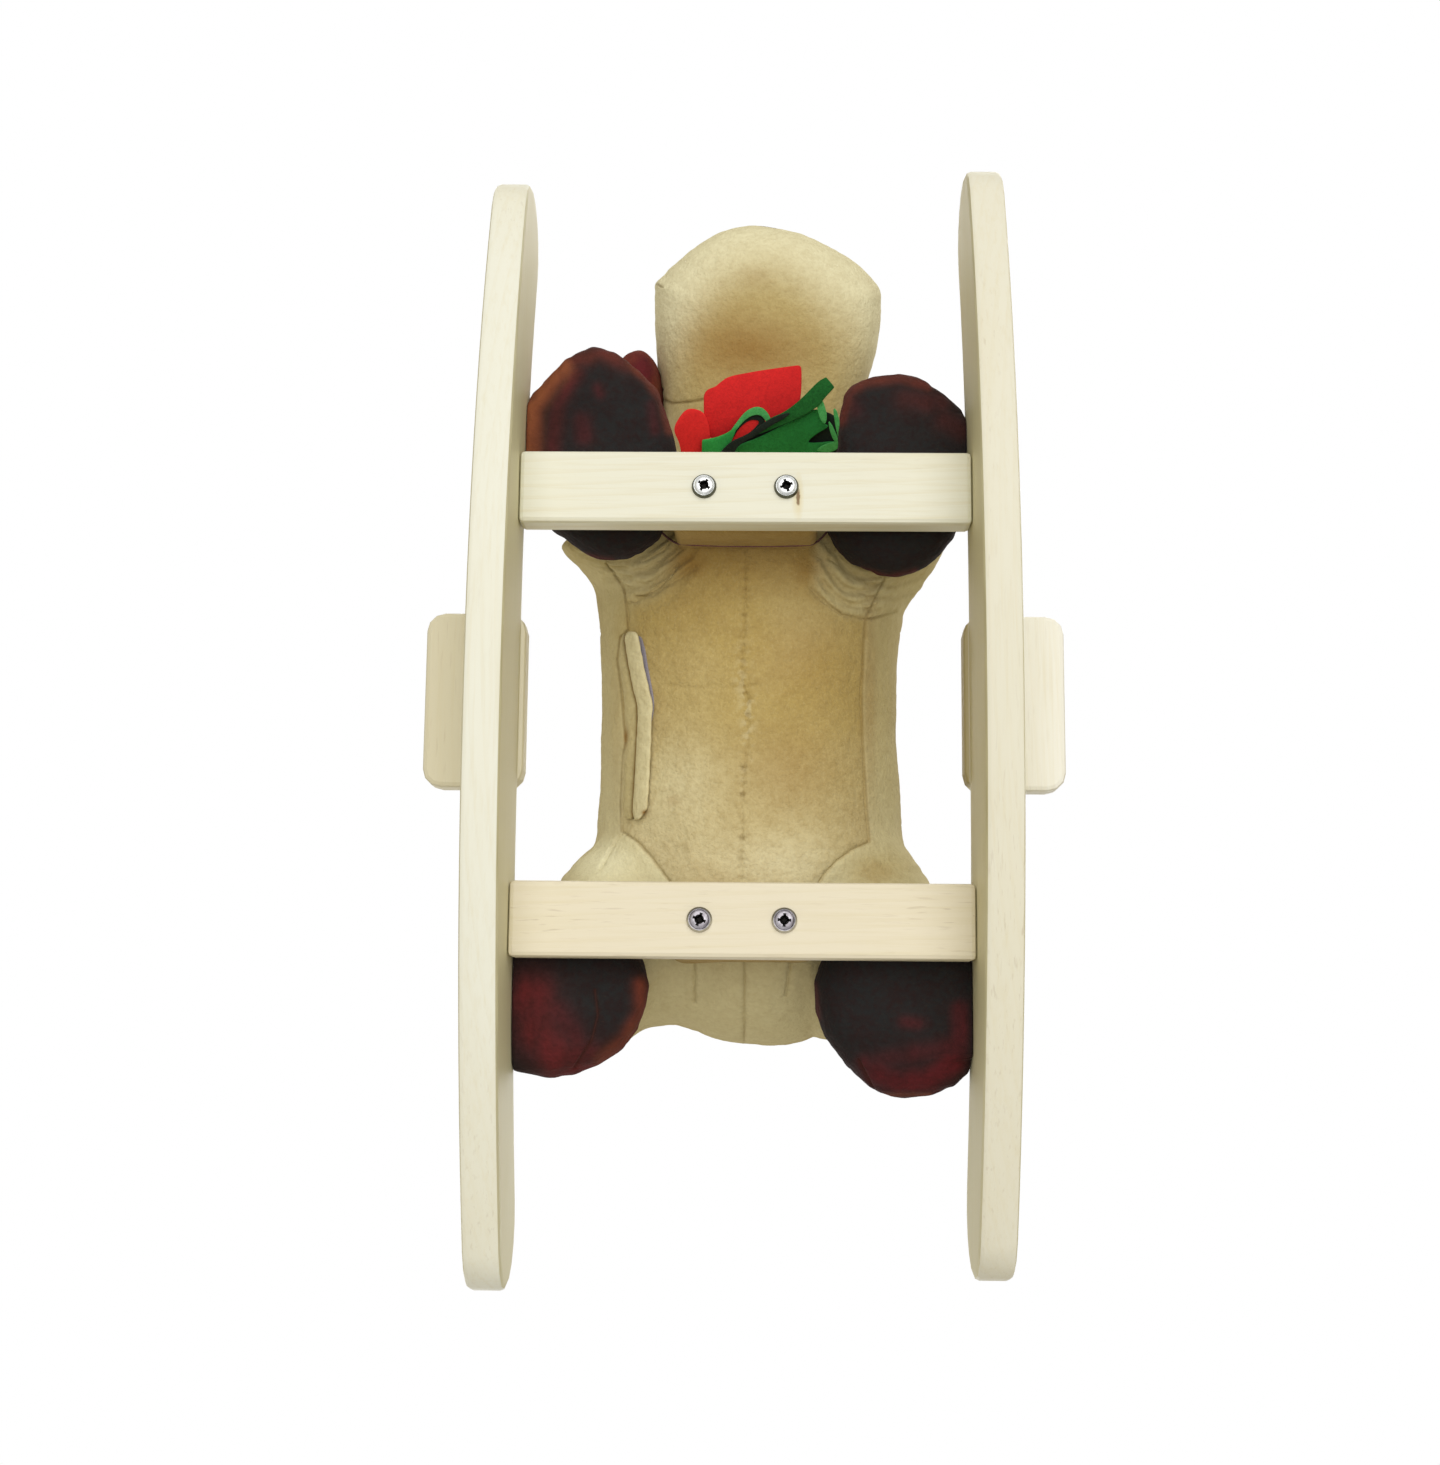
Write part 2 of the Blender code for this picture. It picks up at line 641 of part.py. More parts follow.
# Where each pair of legs leaves the torso, and how thick it is there
HIPS = {"front": (0.118, 0.044), "rear": (0.108, 0.051)}
bar_spaces = {
    end: box(
        "bar_space_" + end,
        (2 * inner_face + 0.004, BAR_WIDTH + 2 * GAP, BOARD + 2 * GAP),
        (0, y * BAR_REACH, BAR_BOTTOM + BOARD / 2),
        None,
        cutter=True,
    )
    for end, y in ends.items()
}
rocker_spaces = {
    side: box(
        "rocker_space_" + side,
        (BOARD + 0.020, 2 * rocker_reach, 0.200),
        (x * (inner_face - GAP + (BOARD + 0.020) / 2), 0, 0.100),
        None,
        cutter=True,
    )
    for side, x in sides.items()
}
for (end, side), (x, y, half_wide, half_long, toe) in feet.items():
    way = ends[end]
    out = sides[side]
    toe_x = x + out * toe
    heel_x = x - out * toe * 0.6
    foot_path = [
        (toe_x, y + way * half_long, FOOT_MIDDLE - 0.004),
        (toe_x, y + way * half_long * 0.92, FOOT_MIDDLE - 0.003, half_wide * 0.56, FOOT_HALF_HEIGHT * 0.55),
        (toe_x, y + way * half_long * 0.62, FOOT_MIDDLE - 0.001, half_wide * 0.92, FOOT_HALF_HEIGHT * 0.92),
        (x, y, FOOT_MIDDLE, half_wide, FOOT_HALF_HEIGHT),
        (heel_x, y - way * half_long * 0.58, FOOT_MIDDLE, half_wide * 0.90, FOOT_HALF_HEIGHT * 0.92),
        (heel_x, y - way * half_long * 0.90, FOOT_MIDDLE, half_wide * 0.54, FOOT_HALF_HEIGHT * 0.58),
        (heel_x, y - way * half_long, FOOT_MIDDLE),
    ]
    foot_shape = {"ring": 12, "low": 2.4, "top": 2.2}
    foot = stuffed(f"foot_{end}_{side}", foot_path, brown_plush, **foot_shape)
    foot_space = stuffed(f"foot_space_{end}_{side}", foot_path, None, grow=FORM_GAP, **foot_shape)
    cut(foot, bar_spaces[end], rocker_spaces[side], sleeves[end], body_space)
    hip_y, hip_wide = HIPS[end]
    leg_path = [
        (PLUSH_X + out * 0.040, way * (hip_y - 0.016), 0.232),
        (PLUSH_X + out * 0.050, way * (hip_y - 0.012), 0.215, hip_wide * 0.66, hip_wide * 0.66),
        (PLUSH_X + out * 0.061, way * (hip_y - 0.006), 0.182, hip_wide, hip_wide),
        (PLUSH_X + out * 0.066, way * (hip_y + 0.002), 0.150, hip_wide, hip_wide * 0.96),
        (x * 0.98, way * 0.006 + y * 0.86, 0.122, 0.031, 0.033),
        (x * 0.98, y * 0.94, 0.099),
    ]
    leg = stuffed(f"leg_{end}_{side}", leg_path, cream_plush, ring=12)
    cut(leg, sleeves[end], body_space, foot_space)

# Ears hang from the sides of the head. Each has its origin on its seam, where it lifts.
# The left one hangs a little forward and the right one a little back. (seam, forward)
ear_spots = {
    "left": ((-0.0590, -0.2540, 0.3930), 0.008),
    "right": ((0.0820, -0.2370, 0.3930), -0.004),
}
for side, (seam, forward) in ear_spots.items():
    out = sides[side]
    ear_path = [
        (0, 0, 0.006),
        (out * 0.001, 0, 0.001, 0.0055, 0.013),
        (out * 0.008, -forward * 0.3, -0.026, 0.0075, 0.022),
        (out * 0.014, -forward * 0.6, -0.054, 0.0080, 0.026),
        (out * 0.020, -forward * 0.9, -0.082, 0.0080, 0.023),
        (out * 0.024, -forward, -0.101, 0.0060, 0.014),
        (out * 0.025, -forward, -0.106),
    ]
    ear = stuffed("ear_" + side, ear_path, brown_plush, ring=8, location=seam)
    cut(ear, head_space)

# Short tail on the top of the rump
tail_seam = (PLUSH_X, 0.144, 0.2885)
tail_path = [
    (0, -0.005, 0.001),
    (0, 0.000, 0.000, 0.008, 0.005),
    (0, 0.013, -0.006, 0.010, 0.006),
    (0, 0.023, -0.017, 0.011, 0.006),
    (0, 0.029, -0.030, 0.008, 0.005),
    (0, 0.031, -0.037),
]
tail = stuffed("tail", tail_path, brown_plush, ring=8, location=tail_seam)
cut(tail, body_space)

# Eyes: domed buttons set into the head
for side, out in sides.items():
    eye_spot = (HEAD_X + out * 0.0585, -0.2930, 0.3840)
    eye_way = Vector((out * 0.72, -0.50, 0.48)).to_track_quat("Z", "Y").to_euler()
    dome = [(0, 0.0075)]
    for step in range(1, 5):
        angle = math.radians(90 - 22.5 * step)
        dome.append((0.009 * math.cos(angle), 0.0025 + 0.005 * math.sin(angle)))
    dome += [(0.009, 0.0010), (0.0030, 0.0002), (0.0030, -0.009), (0, -0.009)]
    turned("eye_" + side, dome, eye_spot, eye_way, black_plastic, 16)
    socket = [(0, 0.020), (0.009 + GAP, 0.020), (0.009 + GAP, 0.0006), (0.0030 + GAP, -0.0002)]
    socket += [(0.0030 + GAP, -0.009 - GAP), (0, -0.009 - GAP)]
    eye_space = turned("eye_space_" + side, socket, eye_spot, eye_way, None, 16, cutter=True)
    cut(head, eye_space)

# Closure flap on the belly: a strip sewn along its outer edge, which is its hinge
FLAP_LENGTH = 0.105
FLAP_WIDTH = 0.0150
FLAP_THICK = 0.0024
flap_slope = math.radians(33)
flap_hinge = (-0.0655, 0.003, 0.1168)
mesh = bpy.data.meshes.new("closure_flap")
build = bmesh.new()
flap_place = Matrix.Translation((FLAP_WIDTH / 2, 0, 0)) @ Matrix.Diagonal(
    (FLAP_WIDTH, FLAP_LENGTH, FLAP_THICK, 1)
)
bmesh.ops.create_cube(build, size=1.0, matrix=flap_place)
build.to_mesh(mesh)
build.free()
flap = place("closure_flap", mesh, cream_plush, flap_hinge, (0, flap_slope, 0))
rounded(flap, 0.0009)

# Felt bloom under the chin: petals, a stem band, a wide leaf and a looped leaf
FELT = 0.003


def petal(name, spot_xyz, turn, length, width, mat, blunt=0.55):
    # A round-cornered felt shape that widens from its root
    points = [(-width * 0.22, 0), (width * 0.22, 0)]
    for step in range(9):
        angle = math.radians(-20 + 220 * step / 8)
        reach = length * (1 - blunt) * 0.62
        points.append((width / 2 * math.cos(angle), length - reach + reach * math.sin(angle)))
    return outline(name, points, FELT, mat, spot_xyz, turn, 0.0008)


large_turn = (math.radians(-20), 0, math.radians(186))
small_turn = (math.radians(-14), 0, math.radians(118))
bloom = [
    petal("petal_large", (0.000, -0.188, 0.2120), large_turn, 0.051, 0.066, red_felt),
    petal("petal_small", (-0.016, -0.182, 0.2060), small_turn, 0.034, 0.036, red_felt),
]


def strip(name, start, end, width, mat):
    start = Vector(start)
    along = Vector(end) - start
    turn = Euler((0, -math.asin(along.z / along.length), math.atan2(along.y, along.x)))
    return box(name, (along.length, width, FELT), start + along / 2, mat, 0.0008, turn)


bloom += [
    strip("stem", (-0.030, -0.178, 0.190), (0.048, -0.226, 0.196), 0.012, green_felt),
    strip("leaf_wide", (-0.018, -0.180, 0.183), (0.057, -0.200, 0.184), 0.024, green_felt),
]
for piece in bloom:
    cut(piece, body_space, throat_space)
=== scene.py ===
import math

import bmesh
import bpy
import numpy as np
from mathutils import Matrix, Vector, geometry, noise
from mathutils.bvhtree import BVHTree


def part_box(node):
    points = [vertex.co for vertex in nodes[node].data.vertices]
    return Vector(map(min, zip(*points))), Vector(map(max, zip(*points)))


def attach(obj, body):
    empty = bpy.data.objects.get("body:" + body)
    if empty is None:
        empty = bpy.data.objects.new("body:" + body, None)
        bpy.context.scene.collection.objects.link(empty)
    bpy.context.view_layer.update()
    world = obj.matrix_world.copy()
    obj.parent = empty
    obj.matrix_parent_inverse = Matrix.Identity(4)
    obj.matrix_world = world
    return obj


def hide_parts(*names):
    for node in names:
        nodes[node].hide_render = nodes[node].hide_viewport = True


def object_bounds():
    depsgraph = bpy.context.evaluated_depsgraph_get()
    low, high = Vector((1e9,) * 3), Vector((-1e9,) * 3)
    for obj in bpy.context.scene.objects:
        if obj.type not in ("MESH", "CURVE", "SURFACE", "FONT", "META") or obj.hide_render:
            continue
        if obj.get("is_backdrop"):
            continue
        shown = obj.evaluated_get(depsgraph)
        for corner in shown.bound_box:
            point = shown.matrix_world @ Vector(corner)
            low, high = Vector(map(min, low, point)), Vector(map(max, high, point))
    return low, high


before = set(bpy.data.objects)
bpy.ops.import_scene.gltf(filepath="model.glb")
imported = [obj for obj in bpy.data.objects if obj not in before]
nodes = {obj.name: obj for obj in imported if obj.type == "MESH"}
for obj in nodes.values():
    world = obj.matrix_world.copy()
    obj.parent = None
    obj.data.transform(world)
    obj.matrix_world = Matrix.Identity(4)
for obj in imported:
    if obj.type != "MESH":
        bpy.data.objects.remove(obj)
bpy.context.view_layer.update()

mainBody = "calf_on_rockers"
scene = bpy.context.scene

# Camera: under the toy, looking up at it, as the photograph was taken
cameraSet = {
    "place": (0.0076703, 0.2140834, -0.999272),
    "turn": (-2.9869032, -0.0175943, -0.0095802),
    "focalPixels": 2000.0,
    "picture": (1440, 1465),
    "sensor": 36.0,
    "clip": (0.05, 50.0),
}
camera = bpy.data.objects.new("camera", bpy.data.cameras.new("camera"))
scene.collection.objects.link(camera)
camera.location = cameraSet["place"]
camera.rotation_euler = cameraSet["turn"]
camera.data.sensor_width = cameraSet["sensor"]
camera.data.lens = cameraSet["sensor"] * cameraSet["focalPixels"] / max(cameraSet["picture"])
camera.data.clip_start, camera.data.clip_end = cameraSet["clip"]
scene.camera = camera
bpy.context.view_layer.update()
fromCamera = np.array(camera.matrix_world)
toCamera = np.array(camera.matrix_world.inverted())
cameraPlace = fromCamera[:3, 3]
pictureMiddle = np.array(cameraSet["picture"]) / 2
print("camera set")


# Where points of the toy fall in the photograph's frame, and the way back at a given height
def pixelsOf(points):
    seen = points @ toCamera[:3, :3].T + toCamera[:3, 3]
    return pictureMiddle + seen[:, :2] * (1, -1) * (cameraSet["focalPixels"] / -seen[:, 2:])


def rayOf(across, down):
    x, y = (np.array((across, down)) - pictureMiddle) / cameraSet["focalPixels"]
    return fromCamera[:3, :3] @ np.array((x, -y, -1.0))


def atHeight(across, down, height):
    way = rayOf(across, down)
    return cameraPlace + way * (height - cameraPlace[2]) / way[2]


# Materials
waveUnit = 0.314  # a wave texture of scale 1 repeats after this many metres
noiseUnit = 0.5  # and a noise of scale 1 has lumps of about this many


def paint(hexText):
    parts = [int(hexText[i:i + 2], 16) / 255 for i in (1, 3, 5)]
    return tuple(c / 12.92 if c <= 0.04045 else ((c + 0.055) / 1.055) ** 2.4 for c in parts) + (1.0,)


def settle(tree, node, settings):
    # Keys are the node's settings, or its sockets by name or number. Values are numbers, colours
    # in hex, or another node's sockets, which are linked
    for key, value in settings.items():
        if isinstance(value, bpy.types.NodeSocket):
            tree.links.new(value, node.inputs[key])
        elif isinstance(key, str) and hasattr(node, key):
            setattr(node, key, value)
        else:
            node.inputs[key].default_value = paint(value) if isinstance(value, str) else value


def addNode(tree, kind, settings=None, output=0):
    node = tree.nodes.new("ShaderNode" + kind)
    settle(tree, node, settings or {})
    return node.outputs[output]


def laid(tree, colour, over, value, low=0.0, high=1.0, amount=1.0, start=0.0, curve="LINEAR"):
    # Lays a colour over another, from start to amount as a value goes from low to high
    share = {"interpolation_type": curve, 0: value, 1: low, 2: high, 3: start, 4: amount}
    share = addNode(tree, "MapRange", share)
    return addNode(tree, "Mix", {"data_type": "RGBA", 0: share, 6: colour, 7: over}, 2)


def drawnOut(tree, source, stretch, kind, settings, output="Fac"):
    # A texture on coordinates that are stretched along the grain
    source = addNode(tree, "Mapping", {"Scale": stretch, "Vector": source})
    return addNode(tree, kind, {**settings, "Vector": source}, output)


def newMaterial(name):
    made = bpy.data.materials.new(name)
    made.use_nodes = True
    return made, made.node_tree, addNode(made.node_tree, "TexCoord", None, "Object")


def finished(made, settings, height=None, strength=0.3, depth=0.0003):
    # Sets the shader, with a fine relief where a height is given
    if height is not None:
        relief = {"Strength": strength, "Distance": depth, "Height": height}
        settings["Normal"] = addNode(made.node_tree, "Bump", relief)
    settle(made.node_tree, made.node_tree.nodes["Principled BSDF"], settings)
    return made


# The flank colour is painted shade, for faces that look to either side
poplarLook = {
    "line": "#dccfa2", "flank": "#d6cfa6", "shadowed": "#e4dcbd", "speck": "#8c6a3e", "knot": "#6f4a1c",
    "knotHalo": "#e0cc8e", "knotSize": 0.0010, "lineSpacing": 0.0034, "fibreWidth": 0.0011,
}


# Poplar boards, planed, sanded and sealed with thin water varnish: pale cream, silky,
# with faint long growth lines, short pores and a small knot here and there
def sandedPoplar(name, grain, shift, pale, lined=0.18, streaked=0.0, sideShaded=0.0, inner=None, knot=None):
    look = poplarLook
    made, tree, place = newMaterial(name)
    turn = {"x": (0, 0, 0), "y": (0, 0, -math.pi / 2), "z": (0, math.pi / 2, 0)}[grain]
    along = addNode(tree, "Mapping", {"Rotation": turn, "Location": shift, "Vector": place})
    sway = drawnOut(tree, along, (3.0, 14.0, 14.0), "TexNoise", {"Scale": 1.0, "Detail": 2.0}, "Color")
    sway = addNode(tree, "VectorMath", {"operation": "SUBTRACT", 0: sway, 1: (0.5, 0.5, 0.5)})
    bent = {"operation": "MULTIPLY_ADD", 0: sway, 1: (0.0, 0.0035, 0.0035), 2: along}
    bent = addNode(tree, "VectorMath", bent)
    rings = drawnOut(tree, bent, (0.05, 1.0, 0.6), "TexWave", {
        "bands_direction": "DIAGONAL", "wave_profile": "SAW", "Scale": waveUnit / look["lineSpacing"],
        "Distortion": 0.6, "Detail": 2.0, "Detail Scale": 1.2,
    })
    fibre = {"Scale": noiseUnit / look["fibreWidth"], "Detail": 3.0, "Roughness": 0.6}
    fibre = drawnOut(tree, bent, (0.035, 1.0, 1.0), "TexNoise", fibre)
    cloud = drawnOut(tree, along, (2.5, 16.0, 16.0), "TexNoise", {"Scale": 1.0, "Detail": 3.0})
    cells = drawnOut(tree, along, (0.45, 1.0, 1.0), "TexVoronoi", {"Scale": 26.0}, "Distance")
    pores = drawnOut(tree, along, (0.10, 1.0, 1.0), "TexNoise", {"Scale": 620.0, "Detail": 2.0})
    colour = laid(tree, pale, look["line"], rings, 0.55, 1.0, lined, 0.0, "SMOOTHSTEP")
    colour = laid(tree, colour, look["line"], fibre, 0.50, 0.75, 0.10 + lined)
    colour = laid(tree, colour, look["shadowed"], cloud, 0.45, 0.75, 0.4)
    colour = laid(tree, colour, look["speck"], cells, 0.018, 0.034, 0.0, 0.55)
    patchy = addNode(tree, "MapRange", {0: cloud, 1: 0.42, 2: 0.62, 4: streaked})
    colour = laid(tree, colour, look["speck"], pores, 0.60, 0.72, patchy)
    if knot:
        size = look["knotSize"]
        gap = addNode(tree, "VectorMath", {"operation": "SUBTRACT", 0: place, 1: knot})
        gap = addNode(tree, "VectorMath", {"operation": "MULTIPLY", 0: gap, 1: (1.0, 0.24, 1.0)})
        far = addNode(tree, "VectorMath", {"operation": "LENGTH", 0: gap}, "Value")
        frayed = addNode(tree, "TexNoise", {"Scale": 420.0, "Detail": 2.0, "Vector": place})
        far = addNode(tree, "Math", {"operation": "MULTIPLY_ADD", 0: frayed, 1: size * 1.1, 2: far})
        colour = laid(tree, colour, look["knotHalo"], far, size * 1.55, size * 4.15, 0.0, 0.5)
        colour = laid(tree, colour, look["knot"], far, size * 1.25, size * 1.85, 0.0, 0.85)
    # Painted shade: faces that look to either side are darker and yellower than the rest, and where given, the
    # part of a board inside the rockers gets painted shade too
    edges = [(addNode(tree, "TexCoord", None, "Normal"), look["flank"], 0.45, 0.85, sideShaded, 0.0)]
    if inner:
        edges.append((place, inner, 0.1226, 0.1240, 0.0, 0.85))
    for source, over, low, high, amount, start in edges:
        across = addNode(tree, "Math", {"operation": "ABSOLUTE", 0: addNode(tree, "SeparateXYZ", {0: source})})
        colour = laid(tree, colour, over, across, low, high, amount, start)
    rough = addNode(tree, "MapRange", {0: fibre, 1: 0.3, 2: 0.8, 3: 0.5, 4: 0.68})
    settings = {"Base Color": colour, "Roughness": rough, "Specular IOR Level": 0.35}
    return finished(made, settings, fibre, 0.35)


# Birch plywood, sawn: thin pale and brown veneers one above the other on its edges
def sawnPlywood(name, across):
    made, tree, place = newMaterial(name)
    grain = (30.0, 900.0, 900.0) if across == "Z" else (900.0, 900.0, 30.0)
    fibre = drawnOut(tree, place, grain, "TexNoise", {"Scale": 1.0, "Detail": 3.0})
    plies = {"bands_direction": across, "Scale": waveUnit / 0.003, "Distortion": 0.3, "Vector": place}
    colour = laid(tree, "#c9a877", "#a97f4e", addNode(tree, "TexWave", plies, "Fac"), 0.35, 0.6)
    colour = laid(tree, colour, "#8f6a40", fibre, 0.4, 0.7, 0.4)
    return finished(made, {"Base Color": colour, "Roughness": 0.7}, fibre, 0.4)


plushLook = {
    "cream": {
        "pile": "#cfc291", "deep": "#a58d58", "panel": "#bda668", "panelDeep": "#a38949", "faded": "#f5f1cf",
        "seam": "#6e5529", "rubbed": "#946a2c", "sheenTint": "#f3e6c0", "sheen": 0.25,
        "tuft": 0.0012, "tuftShare": 0.42, "lump": 0.0034, "lumpShare": 0.32, "nap": 0.034, "napShare": 0.16,
        "fleck": "#e6d9a8", "fleckShare": 0.20,
    },
    # Boots: the near-black panel colours are painted shade, the red-brown dirt colour painted sheen
    "brown": {
        "pile": "#64262b", "deep": "#2c1b1b", "panel": "#2a2a2b", "panelDeep": "#222324", "faded": "#8a4a30",
        "seam": "#4a2a22", "rubbed": "#92573a", "sheenTint": "#5e4845", "sheen": 0.22,
        "tuft": 0.0015, "tuftShare": 0.5, "lump": 0.006, "lumpShare": 0.4, "nap": 0.020, "napShare": 0.45,
    },
}
plushValues = ("seam", "panel", "faded", "rubbed")


# Short polyester plush, knitted and sheared: soft and matt, grained by its tufts, with faintly
# lighter and darker places where the nap lies over. Painted shade in seams and creases, panels with
# painted shade, dirt with painted shade and sheen, and lighter places come from the values that
# each mesh carries
def shearedPlush(colourName):
    look = plushLook[colourName]
    made, tree, place = newMaterial(colourName + "_sheared_plush")
    carried = {value: addNode(tree, "Attribute", {"attribute_name": value}, "Fac") for value in plushValues}
    grains = []
    for size, detail, rough in (("tuft", 3.0, 0.6), ("lump", 2.0, 0.5), ("nap", 2.0, 0.5)):
        grain = {"Scale": noiseUnit / look[size], "Detail": detail, "Roughness": rough, "Vector": place}
        grains.append(addNode(tree, "TexNoise", grain))
    tuft, lump, nap = grains
    plain, panel = (
        laid(tree, look[pile], look[deep], nap, 0.38, 0.66, look["napShare"], 0.0, "SMOOTHSTEP")
        for pile, deep in (("pile", "deep"), ("panel", "panelDeep"))
    )
    colour = laid(tree, plain, panel, carried["panel"])
    colour = laid(tree, colour, look["faded"], carried["faded"])
    thin = addNode(tree, "MapRange", {0: carried["panel"], 3: 0.45})
    lessGrainWhereLight = addNode(tree, "MapRange", {0: carried["faded"], 2: 0.6, 3: 1.0, 4: 0.5})
    worn = addNode(tree, "Math", {"operation": "MULTIPLY", 0: thin, 1: lessGrainWhereLight})
    for grain, share in ((lump, look["lumpShare"]), (tuft, look["tuftShare"])):
        amount = addNode(tree, "Math", {"operation": "MULTIPLY", 0: worn, 1: share})
        colour = laid(tree, colour, look["deep"], grain, 0.42, 0.7, amount)
    if "fleck" in look:
        ruffled = {"Scale": (1.0, 0.6, 1.0), "Location": (0.3, 0.7, 0.1), "Vector": place}
        ruffled = addNode(tree, "Mapping", ruffled)
        flecks = {"Scale": 1.0 / look["tuft"], "Detail": 4.0, "Roughness": 0.7, "Vector": ruffled}
        amount = addNode(tree, "Math", {"operation": "MULTIPLY", 0: carried["panel"], 1: look["fleckShare"]})
        colour = laid(tree, colour, look["fleck"], addNode(tree, "TexNoise", flecks), 0.5, 0.7, amount)
    for value in ("rubbed", "seam"):
        colour = laid(tree, colour, look[value], carried[value])
    relief = addNode(tree, "Math", {"operation": "MULTIPLY_ADD", 0: lump, 1: 1.6, 2: tuft})
    settings = {
        "Base Color": colour, "Roughness": 1.0, "Specular IOR Level": 0.1, "Sheen Weight": look["sheen"],
        "Sheen Roughness": 0.45, "Sheen Tint": look["sheenTint"],
    }
    return finished(made, settings, relief, 0.6, 0.0014)


feltFibre = 0.0009
feltColours = {
    "red": ("#e12d2e", "#b42226"),
    # Painted light: a lit copy of the red felt
    "lit_red": ("#f43434", "#d42a2c"),
    "green": ("#256a30", "#113a1a"),
    "pale_green": ("#58b468", "#2c8a40"),
    # Painted shade: this felt is for dark sheets put where shade falls
    "shade_dark_green": ("#242e28", "#191e1b"),
    "spring_green": ("#3aa853", "#248839"),
    "leaf_green": ("#2f8a44", "#1d602c"),
}


# Pressed felt, die cut: flat matt colour with short matted fibres
def pressedFelt(name, pale, deep):
    made, tree, place = newMaterial(name + "_pressed_felt")
    matted = {"Scale": noiseUnit / feltFibre, "Detail": 4.0, "Distortion": 1.2, "Vector": place}
    matted = addNode(tree, "TexNoise", matted)
    worn = addNode(tree, "TexNoise", {"Scale": 45.0, "Detail": 2.0, "Vector": place})
    colour = laid(tree, laid(tree, pale, deep, matted, 0.4, 0.75, 0.6), deep, worn, 0.5, 0.8, 0.35)
    settings = {
        "Base Color": colour, "Roughness": 0.95, "Specular IOR Level": 0.15, "Sheen Weight": 0.25,
        "Sheen Tint": pale,
    }
    return finished(made, settings, matted, 0.5, 0.0005)


# Zinc-plated steel, pressed and barrel plated: bright grey, slightly clouded
def zincPlate(name, pale, dark, rough, paintedReflection=None):
    made, tree, place = newMaterial(name)
    cloud = addNode(tree, "TexNoise", {"Scale": 320.0, "Detail": 3.0, "Vector": place})
    colour = laid(tree, pale, dark, cloud, 0.4, 0.7)
    if paintedReflection:
        # Painted reflection: darker where the rim slopes to the front
        slope = addNode(tree, "SeparateXYZ", {0: addNode(tree, "NewGeometry", None, "Normal")}, "Y")
        colour = laid(tree, colour, paintedReflection, slope, -0.35, 0.15, 0.0, 0.9)
    clouded = addNode(tree, "MapRange", {0: cloud, 1: 0.3, 2: 0.7, 3: rough, 4: rough + 0.14})
    return finished(made, {"Base Color": colour, "Metallic": 1.0, "Roughness": clouded})


# Moulded acrylic eye, polished: deep brown-black with a small clear gloss
def mouldedEye(name):
    made, tree, place = newMaterial(name)
    depth = addNode(tree, "TexNoise", {"Scale": 260.0, "Detail": 1.0, "Vector": place})
    colour = laid(tree, "#0b0807", "#1d120c", depth, 0.4, 0.7)
    return finished(made, {"Base Color": colour, "Roughness": 0.12, "Specular IOR Level": 0.3})


# Lilac lining, woven nylon: a fine plain weave, drawn at 0.9 mm so that it shows
def wovenLining(name, spacing=0.0009):
    made, tree, place = newMaterial(name)
    warp, weft = (
        addNode(tree, "TexWave", {"bands_direction": way, "Scale": waveUnit / spacing, "Vector": place}, "Fac")
        for way in "XY"
    )
    woven = addNode(tree, "Math", {"operation": "MULTIPLY", 0: warp, 1: weft})
    settings = {"Base Color": laid(tree, "#878292", "#a9a3ab", woven), "Roughness": 0.6, "Sheen Weight": 0.2}
    return finished(made, settings, woven)


# Polyester sewing thread, twisted
def twistedThread(name, pale, deep):
    made, tree, place = newMaterial(name)
    twist = addNode(tree, "TexNoise", {"Scale": 1400.0, "Detail": 2.0, "Vector": place})
    return finished(made, {"Base Color": laid(tree, pale, deep, twist, 0.4, 0.65), "Roughness": 0.75})


frontBarKnot = tuple(atHeight(798, 497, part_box("crossbar_front")[0].z))
boards = {
    "rocker_left": sandedPoplar("poplar_rocker_left", "y", (0.3, 0.11, 0.02), "#f2f3e7", 0.07, 0.12, 0.85),
    "rocker_right": sandedPoplar("poplar_rocker_right", "y", (0.9, 0.37, 0.31), "#eceada", 0.08, 0.20, 0.85),
    "crossbar_front": sandedPoplar(
        "poplar_bar_front", "x", (0.2, 0.5, 0.1), "#f0f0e1", 0.14, 0.12, 0.3, knot=frontBarKnot
    ),
    "crossbar_rear": sandedPoplar("poplar_bar_rear", "x", (1.4, 0.9, 0.6), "#ede5cf", 0.12, 0.60, 0.3),
    "footrest_left": sandedPoplar("poplar_rest_left", "y", (0.1, 0.7, 0.9), "#e6e0c7", 0.08, 0.10, 0.3),
    "footrest_right": sandedPoplar(
        "poplar_rest_right", "y", (2.2, 0.2, 0.4), "#f9f8ef", 0.08, 0.12, 0.3, "#a8985f"
    ),
    "handle_dowel": sandedPoplar("turned_poplar_handle", "x", (3.1, 0.8, 0.2), "#ece8d2"),
    "seat_board": sawnPlywood("birch_ply_seat", "Z"),
    "neck_board": sawnPlywood("birch_ply_neck", "X"),
}
uprightWood = sandedPoplar("poplar_posts", "z", (0.6, 0.1, 0.8), "#ece8d2")
zinc = zincPlate("zinc_plated_steel", "#d8d9d6", "#b9bab8", 0.22)
cupZinc = zincPlate("zinc_plated_cup", "#c3c4c2", "#9b9c9b", 0.30)
# Painted reflection: the cup washers' outer rims are darker
reflectionRims = {
    "front": zincPlate("front_rim_painted_reflection", "#5c5d51", "#45463b", 0.30, "#3e3f34"),
    "rear": zincPlate("rear_rim_painted_reflection", "#b9b6ad", "#98958c", 0.30, "#4a463a"),
}
# Painted reflection: the rear screw heads are a darker grey
darkReflectionZinc = zincPlate("rear_screw_painted_reflection", "#a39fa3", "#7c777b", 0.26)
